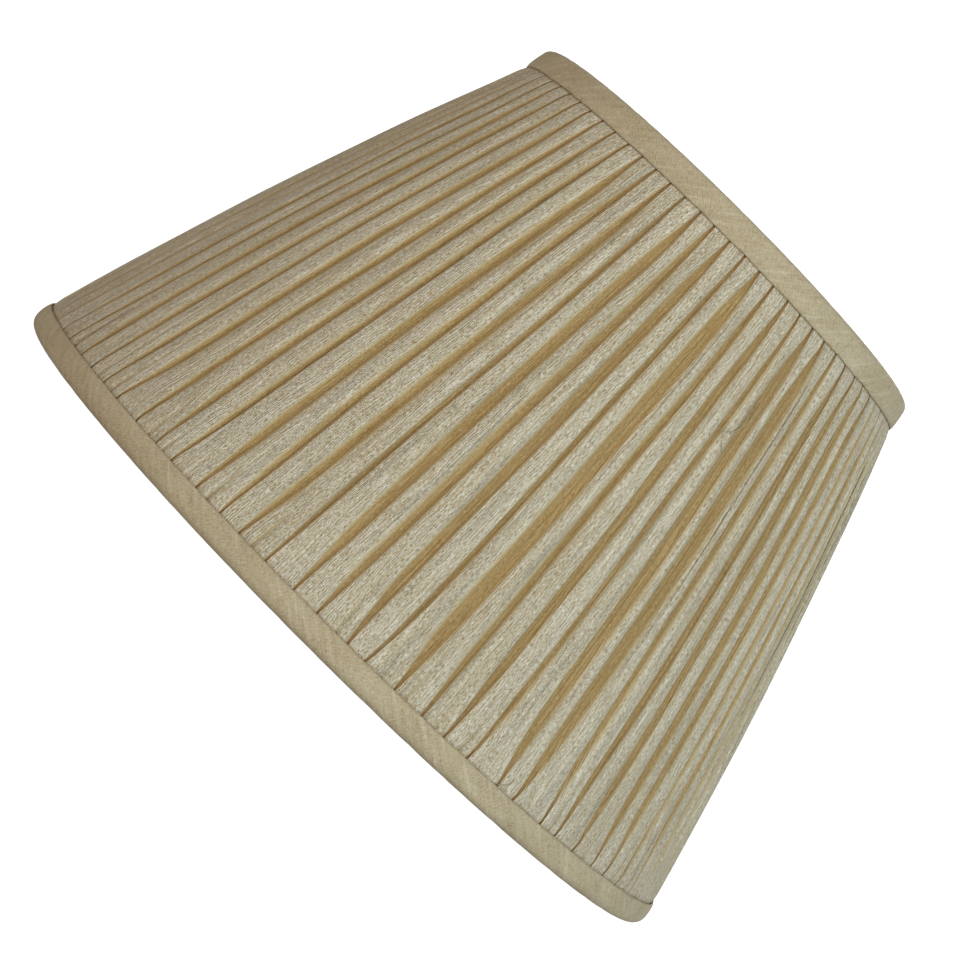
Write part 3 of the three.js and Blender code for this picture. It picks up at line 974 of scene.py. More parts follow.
    def section(self, number: int, height: float, pitch: float) -> List[SectionPoint]:
        """One pleat cut across at a height.

        Args:
            number: which pleat.
            height: where it is cut.
            pitch: the distance between pleats there.

        Returns:
            Its points from the valley on its left up to the last point before the next valley, each as
            place, drop below the pleat's top, and mark.
        """
        above, below = self.seam_distances(height)
        left_shift, left_half = self.valley_at(number, height, pitch)
        right_shift, right_half = self.valley_at(number + 1, height, pitch)
        left_middle, right_middle = left_shift - pitch / 2, right_shift + pitch / 2
        left_edge, right_edge = left_middle + left_half, right_middle - right_half
        ridge = self.ridges[number % self.pleat_count]
        openness = clamp(min(above, below) / self.depth_rise)
        depth = lerp(self.seam_depth, ridge.depth, openness)
        crease = ridge.crease_depth * hump(above, ridge.crease_length)
        widest = self.widest_flank_share * (right_edge - left_edge)
        left_flank = min(widest, lerp(self.seam_flank, ridge.left_flank, openness))
        right_flank = min(widest, lerp(self.seam_flank, ridge.right_flank, openness))
        middle = lerp(left_edge, right_edge, 0.5 + ridge.crease_place / 2)
        shoulder = depth * self.side_points[0].down
        tops = []
        for share in self.top_columns:
            end = right_edge - right_flank if share > 0 else left_edge + left_flank
            notch = crease * hump(share, self.crease_width)
            down = shoulder * share * share + notch
            tops.append(SectionPoint(lerp(middle, end, abs(share)), down, notch * self.crease_mark))
        left = self.side(left_edge, -1, left_flank, left_half, depth)
        right = self.side(right_edge, 1, right_flank, right_half, depth)
        return [SectionPoint(left_middle, depth, 1.0)] + left[::-1] + tops + right

    def cloth_places(self, number: int, points: List[SectionPoint]) -> List[float]:
        """How far along the cloth each point of a pleat is, counted from the pleat's middle."""
        centre = 1 + len(self.side_points) + 1 + len(self.top_columns) // 2
        run = running_lengths(points)
        places = [number * self.cloth_per_pleat + place - run[centre] for place in run]
        places[0] = (number - 0.5) * self.cloth_per_pleat
        return places

    def panel(self, index: int) -> bpy.types.Object:
        """One width of pleated cloth, from a valley to the valley opposite."""
        grid = ClothGrid(f"pleated_cover_{index + 1}")
        first = index * self.pleat_count // self.panel_count
        last = first + self.pleat_count // self.panel_count
        for height in self.heights():
            self._add_row(grid, first, last, height)
        return grid.build()

    def _add_row(self, grid: ClothGrid, first: int, last: int, height: float) -> None:
        """Adds one height's row of points to a panel."""
        near = min(self.seam_distances(height))
        radius = self.form.cover_radius(height)
        swollen = self.puff * math.sin(math.pi * clamp(near / self.puff_reach) / 2)
        puff = swollen if near > 0 else -self.hem_inset
        puff -= self.top_hem_lean * max(0.0, height - self.form.top_seam_height)
        pitch = FULL_TURN * radius / self.pleat_count
        # The seam mark tells the finish where to paint shadow in the slits beside the bindings.
        seam = math.exp(-near / self.seam_fade)
        points, uvs, valley_marks, seam_marks = [], [], [], []

        def add_point(number: int, lift: float, point: SectionPoint, place: float) -> None:
            """Adds one point of one pleat."""
            angle = FULL_TURN * (number + 0.5) / self.pleat_count + point.out / radius
            points.append(polar(radius + puff + lift - point.down, angle, height))
            uvs.append((place, height))
            valley_marks.append(point.mark)
            seam_marks.append(seam)

        for number in range(first, last + 1):
            section = self.section(number, height, pitch)
            places = self.cloth_places(number, section)
            lift = self.lift_at(number, height)
            add_point(number, (lift + self.lift_at(number - 1, height)) / 2, section[0], places[0])
            if number < last:
                for point, place in zip(section[1:], places[1:]):
                    add_point(number, lift, point, place)
        grid.add_row(points, uvs, valley=valley_marks, seam=seam_marks)

    def build(self) -> None:
        """Makes both panels."""
        for index in range(self.panel_count):
            node = f"pleated_panel_{index + 1}"
            piece = place_piece(self.panel(index), Finish.PLEATED_CLOTH, Body.SHADE, node)


# ---- the bindings --------------------------------------------------------------------------------


@dataclass
class BiasBinding:
    """A strip cut on the bias and folded over one edge of the shade."""

    name: str
    node: str
    outer_radius: float
    inner_radius: float
    outer_leaf: float
    inner_leaf: float
    edge_height: float
    upwards: bool
    bulge: float
    corner: float
    join_angle: float
    seed: int
    lean: float = 0.0
    pleat_count: int = 82
    thickness: float = 0.5
    columns: int = 574
    leaf_points: int = 9
    corner_points: int = 6
    flat_points: int = 4
    hem_tuck: float = 0.4
    hem_sway: float = 0.22
    face_sway: float = 0.14
    join_lift: float = 0.32
    join_half_width: float = 1.3
    mark_reach: float = 6.0
    mark_power: int = 12
    tuck_power: int = 10
    bulge_span: float = 1.25
    inner_corner_share: float = 0.8
    hem_turns: Tuple[int, int] = (9, 60)
    face_turns: Tuple[int, int] = (14, 90)
    drag_turns: Tuple[int, int] = (40, 130)
    drag_share: float = 0.6
    pleat_ripple: float = 0.16
    ripple_share: float = 0.7

    def _outer_at(self, from_edge: float) -> float:
        """Radius of the outer leaf at a distance from the shade's edge."""
        share = clamp((self.outer_leaf - from_edge) / self.outer_leaf)
        tuck = self.hem_tuck * (1 - share) ** self.tuck_power
        bulge = self.bulge * math.sin(math.pi * share / self.bulge_span)
        return self.outer_radius + bulge - self.lean * share - tuck

    def profile(self) -> List[Tuple[float, float]]:
        """The strip cut across: radius and distance from the shade's edge, outer hem first."""
        points = []
        for step in range(self.leaf_points):
            from_edge = lerp(self.outer_leaf, self.corner, step / self.leaf_points)
            points.append((self._outer_at(from_edge), from_edge))
        outer = self._outer_at(self.corner)
        for step in range(self.corner_points + 1):
            angle = math.pi / 2 * step / self.corner_points
            points.append((outer - self.corner * (1 - math.cos(angle)), self.corner * (1 - math.sin(angle))))
        inner_corner = self.corner * self.inner_corner_share
        for step in range(1, self.flat_points):
            share = step / self.flat_points
            points.append((lerp(outer - self.corner, self.inner_radius + inner_corner, share), 0.0))
        for step in range(self.corner_points + 1):
            angle = math.pi / 2 * step / self.corner_points
            in_from_fold = inner_corner * (1 - math.sin(angle))
            points.append((self.inner_radius + in_from_fold, inner_corner * (1 - math.cos(angle))))
        for step in range(1, self.leaf_points):
            share = step / (self.leaf_points - 1)
            points.append((self.inner_radius, lerp(inner_corner, self.inner_leaf, share)))
        return points

    def build(self) -> bpy.types.Object:
        """Makes the binding."""
        rng = random.Random(self.seed)
        outer_hem, inner_hem = (ring_wander(rng, self.hem_turns, self.hem_sway) for _ in range(2))
        face = ring_wander(rng, self.face_turns, self.face_sway)
        drag = ring_wander(rng, self.drag_turns, self.face_sway)
        profile = self.profile()
        run = running_lengths(profile)
        grid = ClothGrid(self.name, closed=True, flipped=not self.upwards)
        mean = (self.outer_radius + self.inner_radius) / 2
        for (radius, from_edge), across in zip(profile, run):
            to_outer_hem = clamp(1 - across / self.outer_leaf)
            to_inner_hem = clamp(1 - (run[-1] - across) / self.inner_leaf)
            points, uvs, joins, hems = [], [], [], []
            for column in range(self.columns + 1):
                angle = FULL_TURN * column / self.columns
                along = angle * mean
                join = self._from_join(angle, across, run[-1], mean)
                if column < self.columns:
                    ripple = face(angle) + drag(angle + across / mean) * self.drag_share
                    on_pleat = math.cos(self.pleat_count * (angle + math.pi / self.pleat_count))
                    ripple += self.pleat_ripple * to_outer_hem ** 3 * on_pleat
                    ripple += self.join_lift * hump(join, self.join_half_width)
                    sway = outer_hem(angle) * to_outer_hem ** 2 + inner_hem(angle) * to_inner_hem ** 2
                    outwards = 1.0 if across < run[-1] / 2 else -1.0
                    edge_share = clamp(from_edge / self.corner)
                    distance = from_edge + sway - min(0.0, ripple) * (1 - edge_share)
                    height = self.edge_height + (-distance if self.upwards else distance)
                    out = outwards * ripple * edge_share * self.ripple_share
                    points.append(polar(radius + out, angle, height))
                    joins.append(clamp(join, -self.mark_reach, self.mark_reach))
                    # The hem mark tells the finish where to paint shade along both hems.
                    hems.append(max(to_outer_hem, to_inner_hem) ** self.mark_power)
                uvs.append((along, across))
            grid.add_row(points, uvs, join=joins, hem=hems)
        piece = grid.build()
        area = sheet_area(piece)
        length, width = FULL_TURN * mean * MM, run[-1] * MM
        thicken(piece, self.thickness)
        place_piece(piece, Finish.BINDING_CLOTH, Body.SHADE, self.node)
        share = area / (length * width)
        log.info("%s: strip %.4f x %.4f m, cloth share %.3f", self.name, length, width, share)
        return piece

    def _from_join(self, angle: float, across: float, strip: float, mean: float) -> float:
        """How far a point is from the slanting join in the strip, in millimetres."""
        return (angle_from(self.join_angle, angle) * mean - (strip / 2 - across)) * math.sqrt(0.5)


# ---- the lining ----------------------------------------------------------------------------------


@dataclass
class Lining:
    """The inner lining: two halves stretched from ring to ring, with a seam front and back."""

    form: ShadeForm
    seed: int = 5
    columns: int = 150
    rows: int = 46
    thickness: float = 0.35
    wrinkle: float = 0.3
    allowance: Tuple[float, ...] = (0.5, 1.3, 2.3)
    allowance_lean: float = 0.25
    hem_margin: float = 0.5
    fold_turns: Tuple[int, int] = (20, 70)
    fine_fold_turns: Tuple[int, int] = (60, 150)
    low_pull: float = 0.35
    cut_height: float = 200.0
    side_from: float = 10.0

    def half(self, side: str, start: float) -> bpy.types.Object:
        """One half, from a seam to the seam opposite.

        Args:
            side: its name, left or right.
            start: the angle of its first seam.

        Returns:
            The piece.
        """
        rng = random.Random(f"{self.seed}{side}")
        folds = ring_wander(rng, self.fold_turns, self.wrinkle)
        fine = ring_wander(rng, self.fine_fold_turns, self.wrinkle / 2)
        grid = ClothGrid(f"lining_cloth_{side}")
        low = self.form.bottom_ring_height + self.hem_margin
        high = self.form.top_ring_height - self.hem_margin
        mean = (self.form.bottom_lining_radius + self.form.top_lining_radius) / 2
        for row in range(self.rows + 1):
            height = lerp(low, high, row / self.rows)
            share = self.form.share_up(height)
            flatness = math.sin(math.pi * share)
            pull = share ** 2 * flatness + self.low_pull * (1 - share) ** 3 * flatness
            radius = self.form.lining_radius(height)
            points, uvs = [], []
            for out, angle, lean in self._places(start):
                inwards = max(0.0, folds(angle) + fine(angle)) * pull * (1.0 if out == 0 else 0.0)
                points.append(polar(radius - inwards + out, angle + lean / radius, height))
                uvs.append(((angle - start) * mean, height))
            grid.add_row(points, uvs)
        return grid.build()

    def _places(self, start: float) -> List[Tuple[float, float, float]]:
        """The columns: how far out, at what angle, and how far each turned-back edge leans."""
        end = start + math.pi
        opening = [(out, start, out * self.allowance_lean) for out in reversed(self.allowance)]
        middle = [(0.0, lerp(start, end, column / self.columns), 0.0) for column in range(self.columns + 1)]
        closing = [(out, end, -out * self.allowance_lean) for out in self.allowance]
        return opening + middle + closing

    def build(self) -> None:
        """Makes both halves."""
        for side in ("left", "right"):
            is_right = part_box(f"lining_{side}")[1][0] > self.side_from * MM
            piece = self.half(side, -math.pi / 2 if is_right else math.pi / 2)
            thicken(piece, self.thickness)
            place_piece(piece, Finish.LINING_CLOTH, Body.SHADE, f"lining_{side}")


@dataclass
class Neatener:
    """A folded strip that tidies the slit where an arm of the gimbal comes through the lining."""

    form: ShadeForm
    width: float = 15.0
    drop: float = 10.8
    off_lining: float = 0.55
    fold_radius: float = 0.3
    columns: int = 24
    leaf_rows: int = 14
    fold_rows: int = 5
    taper: float = 0.06
    arm_bump: float = 1.1
    arm_reach: float = 2.2
    arm_fade: float = 3.0
    edge_curl: float = 0.25

    def build(self, side: str, middle_angle: float) -> bpy.types.Object:
        """Makes the strip at one arm."""
        top = self.form.height - self.form.hem_height
        grid = ClothGrid(f"neatener_strip_{side}")
        run = 0.0
        for down, inwards in self._profile():
            height = top - down
            radius = self.form.lining_radius(height) - self.off_lining - inwards
            points, uvs = [], []
            for column in range(self.columns + 1):
                narrowed = self.width * (1 - self.taper * down / self.drop)
                along = lerp(-0.5, 0.5, column / self.columns) * narrowed
                swell = self.arm_bump * hump(along, self.arm_reach) * math.exp(-down / self.arm_fade)
                curl = self.edge_curl * (2 * along / self.width) ** 6
                points.append(polar(radius - swell + curl, middle_angle + along / radius, height))
                uvs.append((along, run))
            grid.add_row(points, uvs)
            run += self.drop / self.leaf_rows
        grid.flipped = True
        piece = grid.build()
        place_piece(piece, Finish.LINING_CLOTH, Body.SHADE, f"neatener_{side}")
        self.width * MM
        return piece

    def _profile(self) -> List[Tuple[float, float]]:
        """The strip cut down its middle: how far down and how far in, from the back leaf round the fold."""
        turn = self.drop - self.fold_radius
        back = [(turn * row / self.leaf_rows, 0.0) for row in range(self.leaf_rows + 1)]
        fold = []
        for step in range(1, self.fold_rows):
            angle = math.pi * step / self.fold_rows
            fold.append((turn + self.fold_radius * math.sin(angle), self.fold_radius * (1 - math.cos(angle))))
        front = [(down, 2 * self.fold_radius) for down, _ in reversed(back)]
        return back + fold + front


# ---- the wire frame ------------------------------------------------------------------------------


@dataclass
class WireFrame:
    """Two rings joined by six struts, with cotton tape wound round the rings."""

    form: ShadeForm
    ring_wire_radius: float = 1.5
    strut_wire_radius: float = 1.2
    strut_count: int = 6
    ring_segments: int = 180
    wire_sides: int = 14
    weld_angle: float = math.radians(12)
    weld_reach: float = 1.6
    weld_swell: float = 1.22
    strut_inset: float = 3.45
    strut_bow: float = 0.8
    strut_overlap: float = 0.6
    strut_rows: int = 14
    tape_width: float = 10.0
    tape_pitch: float = 7.5
    tape_gap: float = 0.12
    tape_thickness: float = 0.28
    tape_lap_slope: float = 1.6
    tape_lap_start: float = 0.3
    tape_steps_per_turn: int = 14
    tape_columns: int = 4

    def ring(self, end: str, radius: float, height: float) -> None:
        """A ring of wire with the swelling of its butt weld."""
        piece = Bench.start(
            f"{end}_wire_ring", bpy.ops.mesh.primitive_torus_add, major_radius=radius * MM,
            minor_radius=self.ring_wire_radius * MM, major_segments=self.ring_segments,
            minor_segments=self.wire_sides, location=(0, 0, height * MM),
        )
        weld = Vector((radius * math.cos(self.weld_angle), radius * math.sin(self.weld_angle), height))
        Bench.select(piece, lambda place: (place - weld).length < self.ring_wire_radius + self.weld_reach)
        Bench.resize((self.weld_swell,) * 3, weld)
        Bench.finish(piece, 60.0)
        place_piece(piece, Finish.PAINTED_WIRE, Body.SHADE, f"{end}_ring")

    def strut_path(self) -> List[Tuple[float, float]]:
        """Radius and height along a strut, from ring to ring just inside the cover."""
        low, high = self.form.bottom_seam_height, self.form.top_seam_height
        path = [(self.form.bottom_ring_radius, self.form.bottom_ring_height + self.strut_overlap)]
        for row in range(self.strut_rows + 1):
            height = lerp(low, high, row / self.strut_rows)
            inset = self.strut_inset + self.strut_bow * math.sin(math.pi * self.form.share_up(height))
            path.append((self.form.cover_radius(height) - inset, height))
        path.append((self.form.top_ring_radius, self.form.top_ring_height - self.strut_overlap))
        return path

    def strut(self) -> bpy.types.Object:
        """A strut on the +X side, extruded along its path and flared where it is welded."""
        path = self.strut_path()
        start_radius, start_height = path[0]
        piece = Bench.start(
            "strut_pattern", bpy.ops.mesh.primitive_circle_add, vertices=self.wire_sides,
            radius=self.strut_wire_radius * self.weld_swell * MM, fill_type="NGON",
            location=(start_radius * MM, 0, start_height * MM),
        )
        for number, ((radius, height), (next_radius, next_height)) in enumerate(zip(path, path[1:])):
            Bench.extrude((next_radius - radius, 0, next_height - height))
            if number == 0:
                Bench.resize((1 / self.weld_swell,) * 2 + (1,), (next_radius, 0, next_height))
            if number == len(path) - 2:
                Bench.resize((self.weld_swell,) * 2 + (1,), (next_radius, 0, next_height))
        return Bench.finish(piece, 60.0)

    def struts(self) -> None:
        """The six struts, each a copy of one."""
        pattern = self.strut()
        for number in range(self.strut_count):
            turn = Matrix.Rotation(FULL_TURN * (number + 0.5) / self.strut_count, 4, "Z")
            piece = Bench.copy(pattern, f"frame_strut_{number + 1}", turn)
            place_piece(piece, Finish.PAINTED_WIRE, Body.SHADE, f"strut_{number + 1}")
        bpy.data.objects.remove(pattern)

    def tape(self, end: str, radius: float, height: float) -> None:
        """Tape wound round a ring on the slant, each turn over the edge of the last."""
        turns = round(FULL_TURN * radius / self.tape_pitch)
        pitch = FULL_TURN * radius / turns
        grid = ClothGrid(f"{end}_tape_winding")
        wound = self.ring_wire_radius + self.tape_gap
        turn_length = math.hypot(FULL_TURN * wound, pitch)
        lean = pitch / (FULL_TURN * wound)
        steps = turns * self.tape_steps_per_turn
        across_width = self.tape_width * turn_length / (FULL_TURN * wound)
        for step in range(steps + 1):
            turned = step / self.tape_steps_per_turn
            points, uvs, hems = [], [], []
            for column in range(self.tape_columns + 1):
                share = column / self.tape_columns
                along = turned * pitch + share * across_width
                around = FULL_TURN * turned
                lapped = 1.0 - clamp(share * self.tape_lap_slope - self.tape_lap_start)
                off_wire = wound + self.tape_thickness * lapped
                out = radius + off_wire * math.cos(around)
                points.append(polar(out, along / radius, height + off_wire * math.sin(around)))
                uvs.append((turned * turn_length + share * self.tape_width * lean, share * self.tape_width))
                hems.append(1.0 if column in (0, self.tape_columns) else 0.0)
            grid.add_row(points, uvs, hem=hems)
        piece = grid.build()
        place_piece(piece, Finish.COTTON_TAPE, Body.SHADE, f"{end}_ring_tape")

    def build(self) -> None:
        """Makes the frame."""
        rings = (
            ("bottom", self.form.bottom_ring_radius, self.form.bottom_ring_height),
            ("top", self.form.top_ring_radius, self.form.top_ring_height),
        )
        for end, radius, height in rings:
            self.ring(end, radius, height)
            self.tape(end, radius, height)
        self.struts()


# ---- the gimbal ----------------------------------------------------------------------------------


@dataclass
class Gimbal:
    """Two arms from the top ring, and between them the ring that tilts on two rivets."""

    form: ShadeForm
    bore_radius: float = 21.0
    outer_radius: float = 26.0
    plate_thickness: float = 1.2
    plate_top: float = 159.0
    rim_depth: float = 3.0
    fitter_segments: int = 96
    ear_inner_x: float = 26.3
    ear_outer_x: float = 27.5
    ear_half_width: float = 4.5
    ear_root: float = 0.8
    ear_root_height: float = 0.4
    ear_sink: float = 1.5
    eye_inner_x: float = 27.8
    eye_outer_x: float = 29.3
    eye_radius: float = 4.0
    hole_radius: float = 1.7
    shank_radius: float = 1.5
    head_radius: float = 2.8
    head_thickness: float = 1.1
    head_gap: float = 0.3
    round_sides: int = 32
    wire_radius: float = 1.5
    wire_sides: int = 16
    bend_radius: float = 4.5
    arm_slope: float = math.radians(11.1)
    bend_steps: int = 10
    edge_round: float = 0.25
    plate_lip: float = 0.9
    plate_bend: Tuple[Tuple[float, float], ...] = ((0.8, 0.0), (0.2, 0.25), (0.0, 0.55))
    hole_margin: float = 1.0
    neck_sink: float = 0.9
    neck_height: float = 6.0
    neck_narrowing: float = 0.96
    neck_spread: float = 1.35
    neck_length: float = 1.0
    ring_overlap: float = 0.8
    head_profile: Tuple[Tuple[float, float], ...] = (
        (-1.0, 0.34), (-0.93, 0.62), (-0.68, 0.86), (-0.3, 0.98), (0.0, 1.0))
    tail_profile: Tuple[Tuple[float, float], ...] = (
        (0.0, 0.92), (0.45, 0.9), (0.85, 0.66), (0.9, 0.4), (0.62, 0.22))

    def _soften(self, piece: bpy.types.Object) -> None:
        """Rounds a piece's sharp edges."""
        Bench.modify(
            piece, "BEVEL", width=self.edge_round * MM, segments=2, limit_method="ANGLE",
            angle_limit=math.radians(40),
        )

    def fitter_ring(self) -> None:
        """The pressed ring, with its rim turned down and an ear on each side."""
        plate = Bench.start(
            "fitter_plate", bpy.ops.mesh.primitive_circle_add, vertices=self.fitter_segments,
            radius=self.bore_radius * MM, fill_type="NOTHING", location=(0, 0, self.plate_top * MM),
        )
        bend = [(self.outer_radius - inset, drop) for inset, drop in self.plate_bend]
        rim_drop = self.rim_depth - sum(drop for _, drop in self.plate_bend)
        radius = self.bore_radius
        for next_radius, drop in ((radius + self.plate_lip, 0.0), *bend, (self.outer_radius, rim_drop)):
            Bench.extrude((0, 0, -drop))
            Bench.resize((next_radius / radius, next_radius / radius, 1.0), (0, 0, self.plate_top))
            radius = next_radius
        Bench.finish(plate)
        Bench.modify(plate, "SOLIDIFY", thickness=self.plate_thickness * MM, offset=-1.0)
        self._soften(plate)
        ear = self.ear()
        other = Bench.copy(ear, "ear_copy", MIRROR_X)
        Bench.pick(plate, ear, other)
        bpy.ops.object.join()
        Bench.finish(plate)
        place_piece(plate, Finish.PAINTED_WIRE, Body.FITTER, "fitter_ring")

    def ear(self) -> bpy.types.Object:
        """The ear on the +X side: an upright tab with a rounded top and a rivet hole."""
        middle = (self.ear_inner_x, 0, self.form.pivot_height)
        piece = self._washer("ear", middle, self.hole_radius, self.ear_half_width)
        Bench.select(piece, lambda place: (
            place.z < self.form.pivot_height - TINY
            and (place - Vector(middle)).length > self.hole_radius + self.hole_margin))
        shoulder = self.form.pivot_height - self.plate_top - self.ear_half_width + self.plate_thickness * self.ear_sink
        bpy.ops.transform.translate(value=(0, 0, -shoulder * MM))
        Bench.select(piece, lambda place: place.z < self.plate_top + self.ear_root_height)
        bpy.ops.transform.translate(value=(-self.ear_root * MM, 0, 0))
        Bench.finish(piece)
        thickness = self.ear_outer_x - self.ear_inner_x
        Bench.modify(piece, "SOLIDIFY", thickness=thickness * MM, offset=1.0)
        self._settle(piece, self.ear_inner_x - self.ear_root)
        self._soften(piece)
        return piece

    def _washer(self, name: str, middle: Sequence[float], inner: float, outer: float) -> bpy.types.Object:
        """A flat ring of faces that looks along X."""
        piece = Bench.start(
            name, bpy.ops.mesh.primitive_circle_add, vertices=self.round_sides, radius=inner * MM,
            fill_type="NOTHING", location=tuple(part * MM for part in middle), rotation=(0, math.pi / 2, 0),
        )
        Bench.extrude((0, 0, 0))
        Bench.resize((1.0, outer / inner, outer / inner), middle)
        return piece

    @staticmethod
    def _settle(piece: bpy.types.Object, inner_x: float) -> None:
        """Slides a piece along X until its inner face is at inner_x."""
        nearest = min(vertex.co.x for vertex in piece.data.vertices)
        piece.data.transform(Matrix.Translation((inner_x * MM - nearest, 0, 0)))

    def arm(self) -> bpy.types.Object:
        """The arm on the +X side: a wire bent twice, with a flattened eye at its lower end."""
        middle = (self.eye_inner_x, 0, self.form.pivot_height)
        eye = self._washer("arm_eye", middle, self.hole_radius, self.eye_radius)
        Bench.finish(eye)
        Bench.modify(eye, "SOLIDIFY", thickness=(self.eye_outer_x - self.eye_inner_x) * MM, offset=1.0)
        self._settle(eye, self.eye_inner_x)
        self._soften(eye)
        wire = self._arm_wire()
        Bench.pick(wire, eye)
        bpy.ops.object.join()
        return Bench.finish(wire)

    def _arm_wire(self) -> bpy.types.Object:
        """The bent wire, from inside the eye's rim up to the top ring."""
        x = (self.eye_inner_x + self.eye_outer_x) / 2
        start = self.form.pivot_height + self.eye_radius - self.neck_sink
        flat = (self.eye_outer_x - self.eye_inner_x) / 2 / self.wire_radius * self.neck_narrowing
        rise = self.neck_height - (self.eye_radius - self.neck_sink)
        piece = Bench.start(
            "gimbal_arm_wire_right", bpy.ops.mesh.primitive_circle_add, vertices=self.wire_sides,
            radius=self.wire_radius * MM, fill_type="NGON", location=(x * MM, 0, start * MM),
        )
        Bench.resize((flat, self.neck_spread, 1.0), (x, 0, start))
        Bench.extrude((0, 0, self.neck_length))
        Bench.extrude((0, 0, rise - self.neck_length))
        bend_start = start + rise
        Bench.resize((1 / flat, 1 / self.neck_spread, 1.0), (x, 0, bend_start))
        bend = math.pi / 2 - self.arm_slope
        bpy.ops.mesh.spin(
            steps=self.bend_steps, angle=-bend, axis=(0, 1, 0),
            center=((x + self.bend_radius) * MM, 0, bend_start * MM),
        )
        slope = (math.cos(self.arm_slope), math.sin(self.arm_slope))
        bent_x = x + self.bend_radius * (1 - math.cos(bend))
        bent_z = bend_start + self.bend_radius * math.sin(bend)
        reach = (self.form.top_ring_radius - bent_x - self.bend_radius * (1 - slope[1])) / slope[0]
        Bench.extrude((reach * slope[0], 0, reach * slope[1]))
        end_x, end_z = bent_x + reach * slope[0], bent_z + reach * slope[1]
        top = end_z + self.bend_radius * slope[0]
        bpy.ops.mesh.spin(
            steps=self.bend_steps, angle=bend, axis=(0, 1, 0),
            center=((end_x - self.bend_radius * slope[1]) * MM, 0, top * MM),
        )
        Bench.extrude((0, 0, self.form.top_ring_height - self.ring_overlap - top))
        return Bench.finish(piece, 60.0)

    def rivet(self) -> bpy.types.Object:
        """The rivet on the +X side: a domed head, a shank and a spread tail."""
        inner = self.ear_inner_x - self.head_gap
        outer = self.eye_outer_x + self.head_gap
        shank = [(inner + TINY, self.shank_radius), (outer - TINY, self.shank_radius)]
        head, tail = (
            [(x + self.head_thickness * along, self.head_radius * wide) for along, wide in profile]
            for x, profile in ((inner, self.head_profile), (outer, self.tail_profile))
        )
        stations = head + shank + tail
        start_x, radius = stations[0]
        height = self.form.pivot_height
        piece = Bench.start(
            "fitter_rivet_right", bpy.ops.mesh.primitive_circle_add, vertices=self.round_sides,
            radius=radius * MM, fill_type="NGON", location=(start_x * MM, 0, height * MM),
            rotation=(0, math.pi / 2, 0),
        )
        for (x, radius), (next_x, next_radius) in zip(stations, stations[1:]):
            Bench.extrude((next_x - x, 0, 0))
            Bench.resize((1.0, next_radius / radius, next_radius / radius), (next_x, 0, height))
        return Bench.finish(piece, 40.0)

    def build(self) -> None:
        """Makes both sides of the gimbal."""
        self.fitter_ring()
        arm, rivet = self.arm(), self.rivet()
        other_arm = Bench.copy(arm, "gimbal_arm_wire_left", MIRROR_X)
        other_rivet = Bench.copy(rivet, "fitter_rivet_left", MIRROR_X)
        for side, wire, pin in (("right", arm, rivet), ("left", other_arm, other_rivet)):
            place_piece(wire, Finish.PAINTED_WIRE, Body.SHADE, f"gimbal_arm_{side}")
            place_piece(pin, Finish.PLATED_STEEL, Body.FITTER, f"pivot_rivet_{side}")


# ---- loose threads -------------------------------------------------------------------------------


@dataclass(frozen=True)
class LooseThread:
    """One thread end that has worked out of the cloth."""

    angle_degrees: float
    height: float
    length: float
    lean: float
    curl: float
    stand_off: float


@dataclass
class LooseThreads:
    """The few thread ends that stand off the cover."""

    form: ShadeForm
    radius: float = 0.13
    sides: int = 6
    steps: int = 22
    above_pleats: float = 0.35
    end_share: float = 0.55
    threads: Tuple[LooseThread, ...] = (
        LooseThread(-64.5, 146.0, 12.0, 0.35, 3.2, 0.9),
        LooseThread(-64.0, 140.0, 9.0, -0.5, -2.4, 1.1),
        LooseThread(-62.8, 151.0, 15.0, 0.1, 1.6, 0.6),
        LooseThread(-60.5, 12.5, 5.5, 0.9, 1.8, 0.8),
        LooseThread(-118.0, 120.0, 7.0, -0.3, 1.2, 0.5),
        LooseThread(72.0, 60.0, 9.0, 0.4, 2.0, 0.7),
    )

    def _path(self, thread: LooseThread) -> List[Vector]:
        """The points that a thread follows over the pleats."""
        path = []
        for step in range(self.steps + 1):
            share = step / self.steps
            height = thread.height + thread.length * (share - 0.5)
            sideways = thread.length * thread.lean * (share - 0.5) + thread.curl * math.sin(math.pi * share)
            arch = thread.stand_off * math.sin(math.pi * share)
            radius = self.form.cover_radius(height) + self.above_pleats + arch
            path.append(polar(radius, math.radians(thread.angle_degrees) + sideways / radius, height))
        return path

    def build(self) -> None:
        """Makes all the threads as one piece."""
        shape = bmesh.new()
        for thread in self.threads:
            path = self._path(thread)
            rings = []
            for place, point in enumerate(path):
                along = (path[min(place + 1, self.steps)] - path[max(place - 1, 0)]).normalized()
                side = along.cross(Vector((0, 0, 1))).normalized()
                up = side.cross(along)
                thin = self.radius * MM * (self.end_share if place in (0, self.steps) else 1.0)
                angles = [FULL_TURN * corner / self.sides for corner in range(self.sides)]
                ring = [point + thin * (side * math.cos(angle) + up * math.sin(angle)) for angle in angles]
                rings.append([shape.verts.new(corner) for corner in ring])
            for low, high in zip(rings, rings[1:]):
                for corner in range(self.sides):
                    after = (corner + 1) % self.sides
                    shape.faces.new((low[corner], low[after], high[after], high[corner]))
            shape.faces.new(rings[0])
            shape.faces.new(rings[-1])
        bmesh.ops.recalc_face_normals(shape, faces=shape.faces)
        mesh = bpy.data.meshes.new("loose_threads")
        shape.to_mesh(mesh)
        shape.free()
        mesh.uv_layers.new(name=ClothGrid.UV_NAME)
        mesh.polygons.foreach_set("use_smooth", [True] * len(mesh.polygons))
        place_piece(add_object("loose_threads", mesh), Finish.PLEATED_CLOTH, Body.SHADE)


# ---- the studio ----------------------------------------------------------------------------------


@dataclass(frozen=True)
class SoftLight:
    """A large square light that looks at the shade."""

    name: str
    place: Tuple[float, float, float]
    size: float
    watts: float
    colour: Colour


